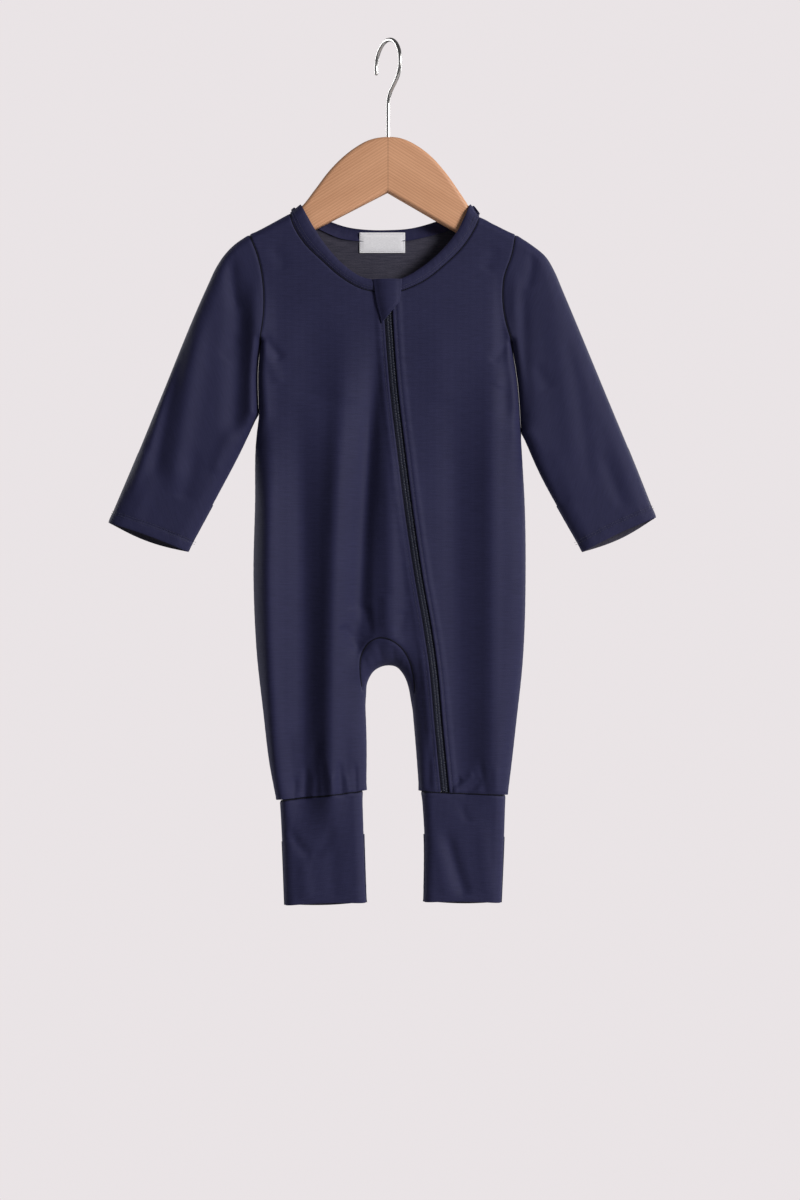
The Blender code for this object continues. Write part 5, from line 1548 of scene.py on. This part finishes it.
def hanger_wood():
    """The shaped board: its outline with rounded edges all round, on both faces."""
    table = [*WOOD_OUTLINE[WOOD_NOTCH:], *WOOD_OUTLINE[:WOOD_NOTCH + 1]]
    outline = smooth(table, 2.0)[:-1]
    tangent = np.roll(outline, -1, axis=0) - np.roll(outline, 1, axis=0)
    tangent /= np.linalg.norm(tangent, axis=1)[:, None]
    inward = np.stack([tangent[:, 1], -tangent[:, 0]], axis=1)
    if (inward[:, 0] * (outline[:, 0] - outline[:, 0].mean())).sum() > 0:
        inward = -inward
    turns = np.linspace(-math.pi / 2, 0, WOOD_SEGMENTS + 1)
    front = [(WOOD_ROUND * (1 - math.cos(a)), WOOD_ROUND * (1 + math.sin(a)) - WOOD_THICKNESS / 2) for a in turns]
    rings = []
    for inset, depth in front + [(inset, -depth) for inset, depth in reversed(front)]:
        rings.append([(x, depth, z) for x, z in outline + inward * inset])
    ringed("hanger_wood_board", rings, WOOD)


def ringed(name, rings, finish):
    """A closed piece through rings of points, each as many, from end to end."""
    count = len(rings[0])
    points = [point for ring in rings for point in ring]
    faces = []
    for start in range(0, len(points) - count, count):
        for i in range(count):
            j = (i + 1) % count
            faces.append((start + i, start + j, start + count + j, start + count + i))
    faces.append(tuple(reversed(range(count))))
    faces.append(tuple(range(len(points) - count, len(points))))
    solid(name, points, faces, finish)


def solid(name, points, faces, finish):
    """A closed piece from points in millimetres, its faces turned outwards."""
    mesh = bmesh.new()
    corners = [mesh.verts.new(Vector(point) * MM) for point in points]
    for face in faces:
        mesh.faces.new([corners[i] for i in face])
    bmesh.ops.recalc_face_normals(mesh, faces=mesh.faces)
    bmesh.ops.triangulate(mesh, faces=[face for face in mesh.faces if len(face.verts) > 4])
    data = bpy.data.meshes.new(name)
    mesh.to_mesh(data)
    mesh.free()
    data.materials.append(finish)
    placed(name, data)
    data.shade_smooth()
    data.set_sharp_from_angle(angle=math.radians(60))


def hook_route():
    """Points of the wire's middle line in the hook's own plane: round the rod, back over it, and down."""
    centre = -HOOK_RADIUS + WIRE / 2
    points = []
    for angle in np.linspace(HOOK_TIP, HOOK_LEAVES, 90):
        points.append((HOOK_RADIUS * math.cos(angle), centre + HOOK_RADIUS * math.sin(angle)))
    x, z = points[-1]
    heading = np.array([math.sin(HOOK_LEAVES), -math.cos(HOOK_LEAVES)])
    meet_z = z + heading[1] * (x / -heading[0])
    turn = -HOOK_LEAVES
    tangent = BEND_RADIUS * math.tan(turn / 2)
    for angle in np.linspace(turn, 0, 24):
        points.append((BEND_RADIUS * (1 - math.cos(angle)), meet_z - tangent + BEND_RADIUS * math.sin(angle)))
    points.append((0.0, STEM_END))
    return points


def hanger_hook():
    """A bent wire with a rounded tip; its stem goes down into the board."""
    route = np.array([
        (along_plane * math.cos(HOOK_TURN), -along_plane * math.sin(HOOK_TURN), z) for along_plane, z in hook_route()
    ])
    # the wire rounds off past its tip
    ahead = (route[0] - route[1]) / np.linalg.norm(route[0] - route[1])
    turns = np.linspace(math.pi / 2, 0, 7)[:-1]
    line = np.vstack([[route[0] + ahead * WIRE / 2 * math.sin(turn) for turn in turns], route])
    radii = [WIRE / 2 * math.cos(turn) for turn in turns] + [WIRE / 2] * len(route)
    upright = np.array([math.sin(HOOK_TURN), math.cos(HOOK_TURN), 0.0])
    tangents = np.gradient(line, axis=0)
    tangents /= np.linalg.norm(tangents, axis=1)[:, None]
    around = np.arange(WIRE_SIDES) * 2 * math.pi / WIRE_SIDES
    rings = []
    for centre, radius, side in zip(line, radii, np.cross(tangents, upright)):
        radius = max(radius, LEAST_RADIUS)
        rings.append([centre + radius * (side * math.cos(turn) + upright * math.sin(turn)) for turn in around])
    ringed("hanger_hook_wire", rings, STEEL)


# ---------------------------------------------------------------- camera, light and floor


def camera():
    data = bpy.data.cameras.new("camera")
    data.sensor_fit = "VERTICAL"
    data.sensor_height = 36.0
    data.lens = 36.0 * CAMERA_DISTANCE / CAMERA_HEIGHT_SEEN
    made = placed("camera", data)
    made.location = (CAMERA_AIM[0], -CAMERA_DISTANCE, CAMERA_AIM[1])
    made.rotation_euler = (math.pi / 2, 0, 0)
    bpy.context.scene.camera = made


def lamp(name, place, size, power, color):
    """A soft lamp aimed at the middle of the garment."""
    data = bpy.data.lights.new(name, "AREA")
    data.shape = "RECTANGLE"
    data.size, data.size_y = size
    data.energy = power
    data.color = color
    made = placed(name, data)
    made.location = place
    made.rotation_euler = (Vector(LIT_PLACE) - Vector(place)).to_track_quat("-Z", "Y").to_euler()


def surroundings():
    """The pale room: what the camera sees of it, and how much light it gives."""
    world = bpy.data.worlds.new("room")
    bpy.context.scene.world = world
    world.use_nodes = True
    tree = world.node_tree
    seen = tree.nodes["Background"]
    seen.inputs["Color"].default_value = (*ROOM_SEEN, 1)
    given = tree.nodes.new("ShaderNodeBackground")
    given.inputs["Color"].default_value = (*ROOM_LIGHT, 1)
    given.inputs["Strength"].default_value = ROOM_STRENGTH
    path = tree.nodes.new("ShaderNodeLightPath")
    choice = tree.nodes.new("ShaderNodeMixShader")
    tree.links.new(path.outputs["Is Camera Ray"], choice.inputs["Fac"])
    tree.links.new(given.outputs["Background"], choice.inputs[1])
    tree.links.new(seen.outputs["Background"], choice.inputs[2])
    tree.links.new(choice.outputs["Shader"], tree.nodes["World Output"].inputs["Surface"])


def floor():
    data = bpy.data.meshes.new("floor")
    half = FLOOR_SIZE / 2
    corners = [(-half, -half), (half, -half), (half, half), (-half, half)]
    data.from_pydata([(x, y, FLOOR_HEIGHT) for x, y in corners], [], [(0, 1, 2, 3)])
    data.materials.append(plaster("pale floor"))
    placed("floor", data)


# ---------------------------------------------------------------- the whole thing

NAVY = jersey("navy jersey", JERSEY_LIGHT, JERSEY_DARK, 0.20, 0.12)
NAVY_REVERSE = jersey("navy jersey, wrong side", REVERSE_LIGHT, REVERSE_DARK, 0.60, 0.15)
TAPE = woven_tape("zip tape", (0.014, 0.016, 0.034), 0.35)
NYLON = glossy_navy("zip nylon")
THREAD = thread("navy thread", (0.020, 0.021, 0.048), (0.040, 0.042, 0.085))
# painted shade: a nearly black bead finish that stands for the shadow in each seam's groove
PAINTED_SEAM_SHADE = thread("painted seam shade", (0.0022, 0.0023, 0.006), (0.004, 0.0042, 0.010), 0.0)
LABEL_THREAD = thread("white thread", (0.62, 0.62, 0.66), (0.82, 0.82, 0.86))
LABEL = satin_label("white label")
ZIP_METAL = glossy_navy("zip enamel")
STEEL = metal("hook steel", (0.62, 0.61, 0.60), 0.26)
WOOD = wood("hanger wood")
BEADS = row_of_beads()

SLEEVES = [
    ("right", -SEAM_GAP, ARMHOLE_RIGHT, SLEEVE_TOP_RIGHT, SLIT_RIGHT, SLEEVE_UNDER_RIGHT),
    ("left", SEAM_GAP, ARMHOLE_LEFT, SLEEVE_TOP_LEFT, SLIT_LEFT, SLEEVE_UNDER_LEFT),
]
CUFFS = [
    ("right", CUFF_RIGHT_OUTER, CUFF_RIGHT_INNER, CUFF_RIGHT_EDGES),
    ("left", CUFF_LEFT_OUTER, CUFF_LEFT_INNER, CUFF_LEFT_EDGES),
]

front_panel_right()
front_panel_left()
back_panel()
gusset()
for made in SLEEVES:
    sleeve(*made)
for made in CUFFS:
    leg_cuff(*made)
neck_band()
zip_tapes()
zip_guard()
neck_label()
zip_coil()
zip_stitches()
band_stitches()
hem_stitches()
seam_shade_beads()
label_stitches()
hanger_wood()
hanger_hook()

for name in ("zip_slider", "zip_pull"):
    bpy.data.objects[name].material_slots[0].material = ZIP_METAL

# piece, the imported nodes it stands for, slot
STANDS_FOR = [
    ("front_panel_right_cloth", ["front_panel_right"], "jersey"),
    ("front_panel_left_cloth", ["front_panel_left"], "jersey"),
    ("back_panel_cloth", ["back_panel"], "jersey"), ("gusset_cloth", ["gusset"], "jersey"),
    ("sleeve_right_cloth", ["sleeve_right"], "jersey"), ("sleeve_left_cloth", ["sleeve_left"], "jersey"),
    ("mitten_flap_right_cloth", ["mitten_flap_right"], "jersey"),
    ("mitten_flap_left_cloth", ["mitten_flap_left"], "jersey"),
    ("leg_cuff_right_cloth", ["leg_cuff_right"], "jersey"), ("leg_cuff_left_cloth", ["leg_cuff_left"], "jersey"),
    ("foot_flap_right_cloth", ["foot_flap_right"], "jersey"),
    ("foot_flap_left_cloth", ["foot_flap_left"], "jersey"),
    ("neck_band_cloth", ["neck_band"], "jersey"), ("zip_guard_cloth", ["zip_guard"], "jersey"),
    ("zip_tape_right_woven", ["zip_tape_right"], "zip_tape"),
    ("zip_tape_left_woven", ["zip_tape_left"], "zip_tape"),
    ("zip_coil_teeth", ["zip_coil"], "zip_nylon"), ("neck_label_woven", ["neck_label"], "label"),
    ("hanger_wood_board", ["hanger_wood"], "wood"), ("hanger_hook_wire", ["hanger_hook"], "steel"),
    ("zip_topstitch", [], "jersey"), ("neck_band_stitches", [], "jersey"), ("hem_stitches", [], "jersey"),
    # the seam beads are painted shade, not stitches
    ("seam_shade_beads", [], "jersey"),
    ("label_stitches", [], "label"),
]
for name, nodes, slot in STANDS_FOR:
    piece = bpy.data.objects[name]
    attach(piece, "root")
    if nodes:
        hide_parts(*nodes)


camera()
surroundings()
floor()
lamp("key", KEY_PLACE, KEY_SIZE, KEY_POWER, (1.0, 0.98, 0.96))
lamp("fill", FILL_PLACE, FILL_SIZE, FILL_POWER, (0.95, 0.97, 1.0))
for place in RIM_PLACES:
    lamp("rim", place, RIM_SIZE, RIM_POWER, (1.0, 1.0, 1.0))
bpy.context.scene.view_settings.view_transform = "Standard"
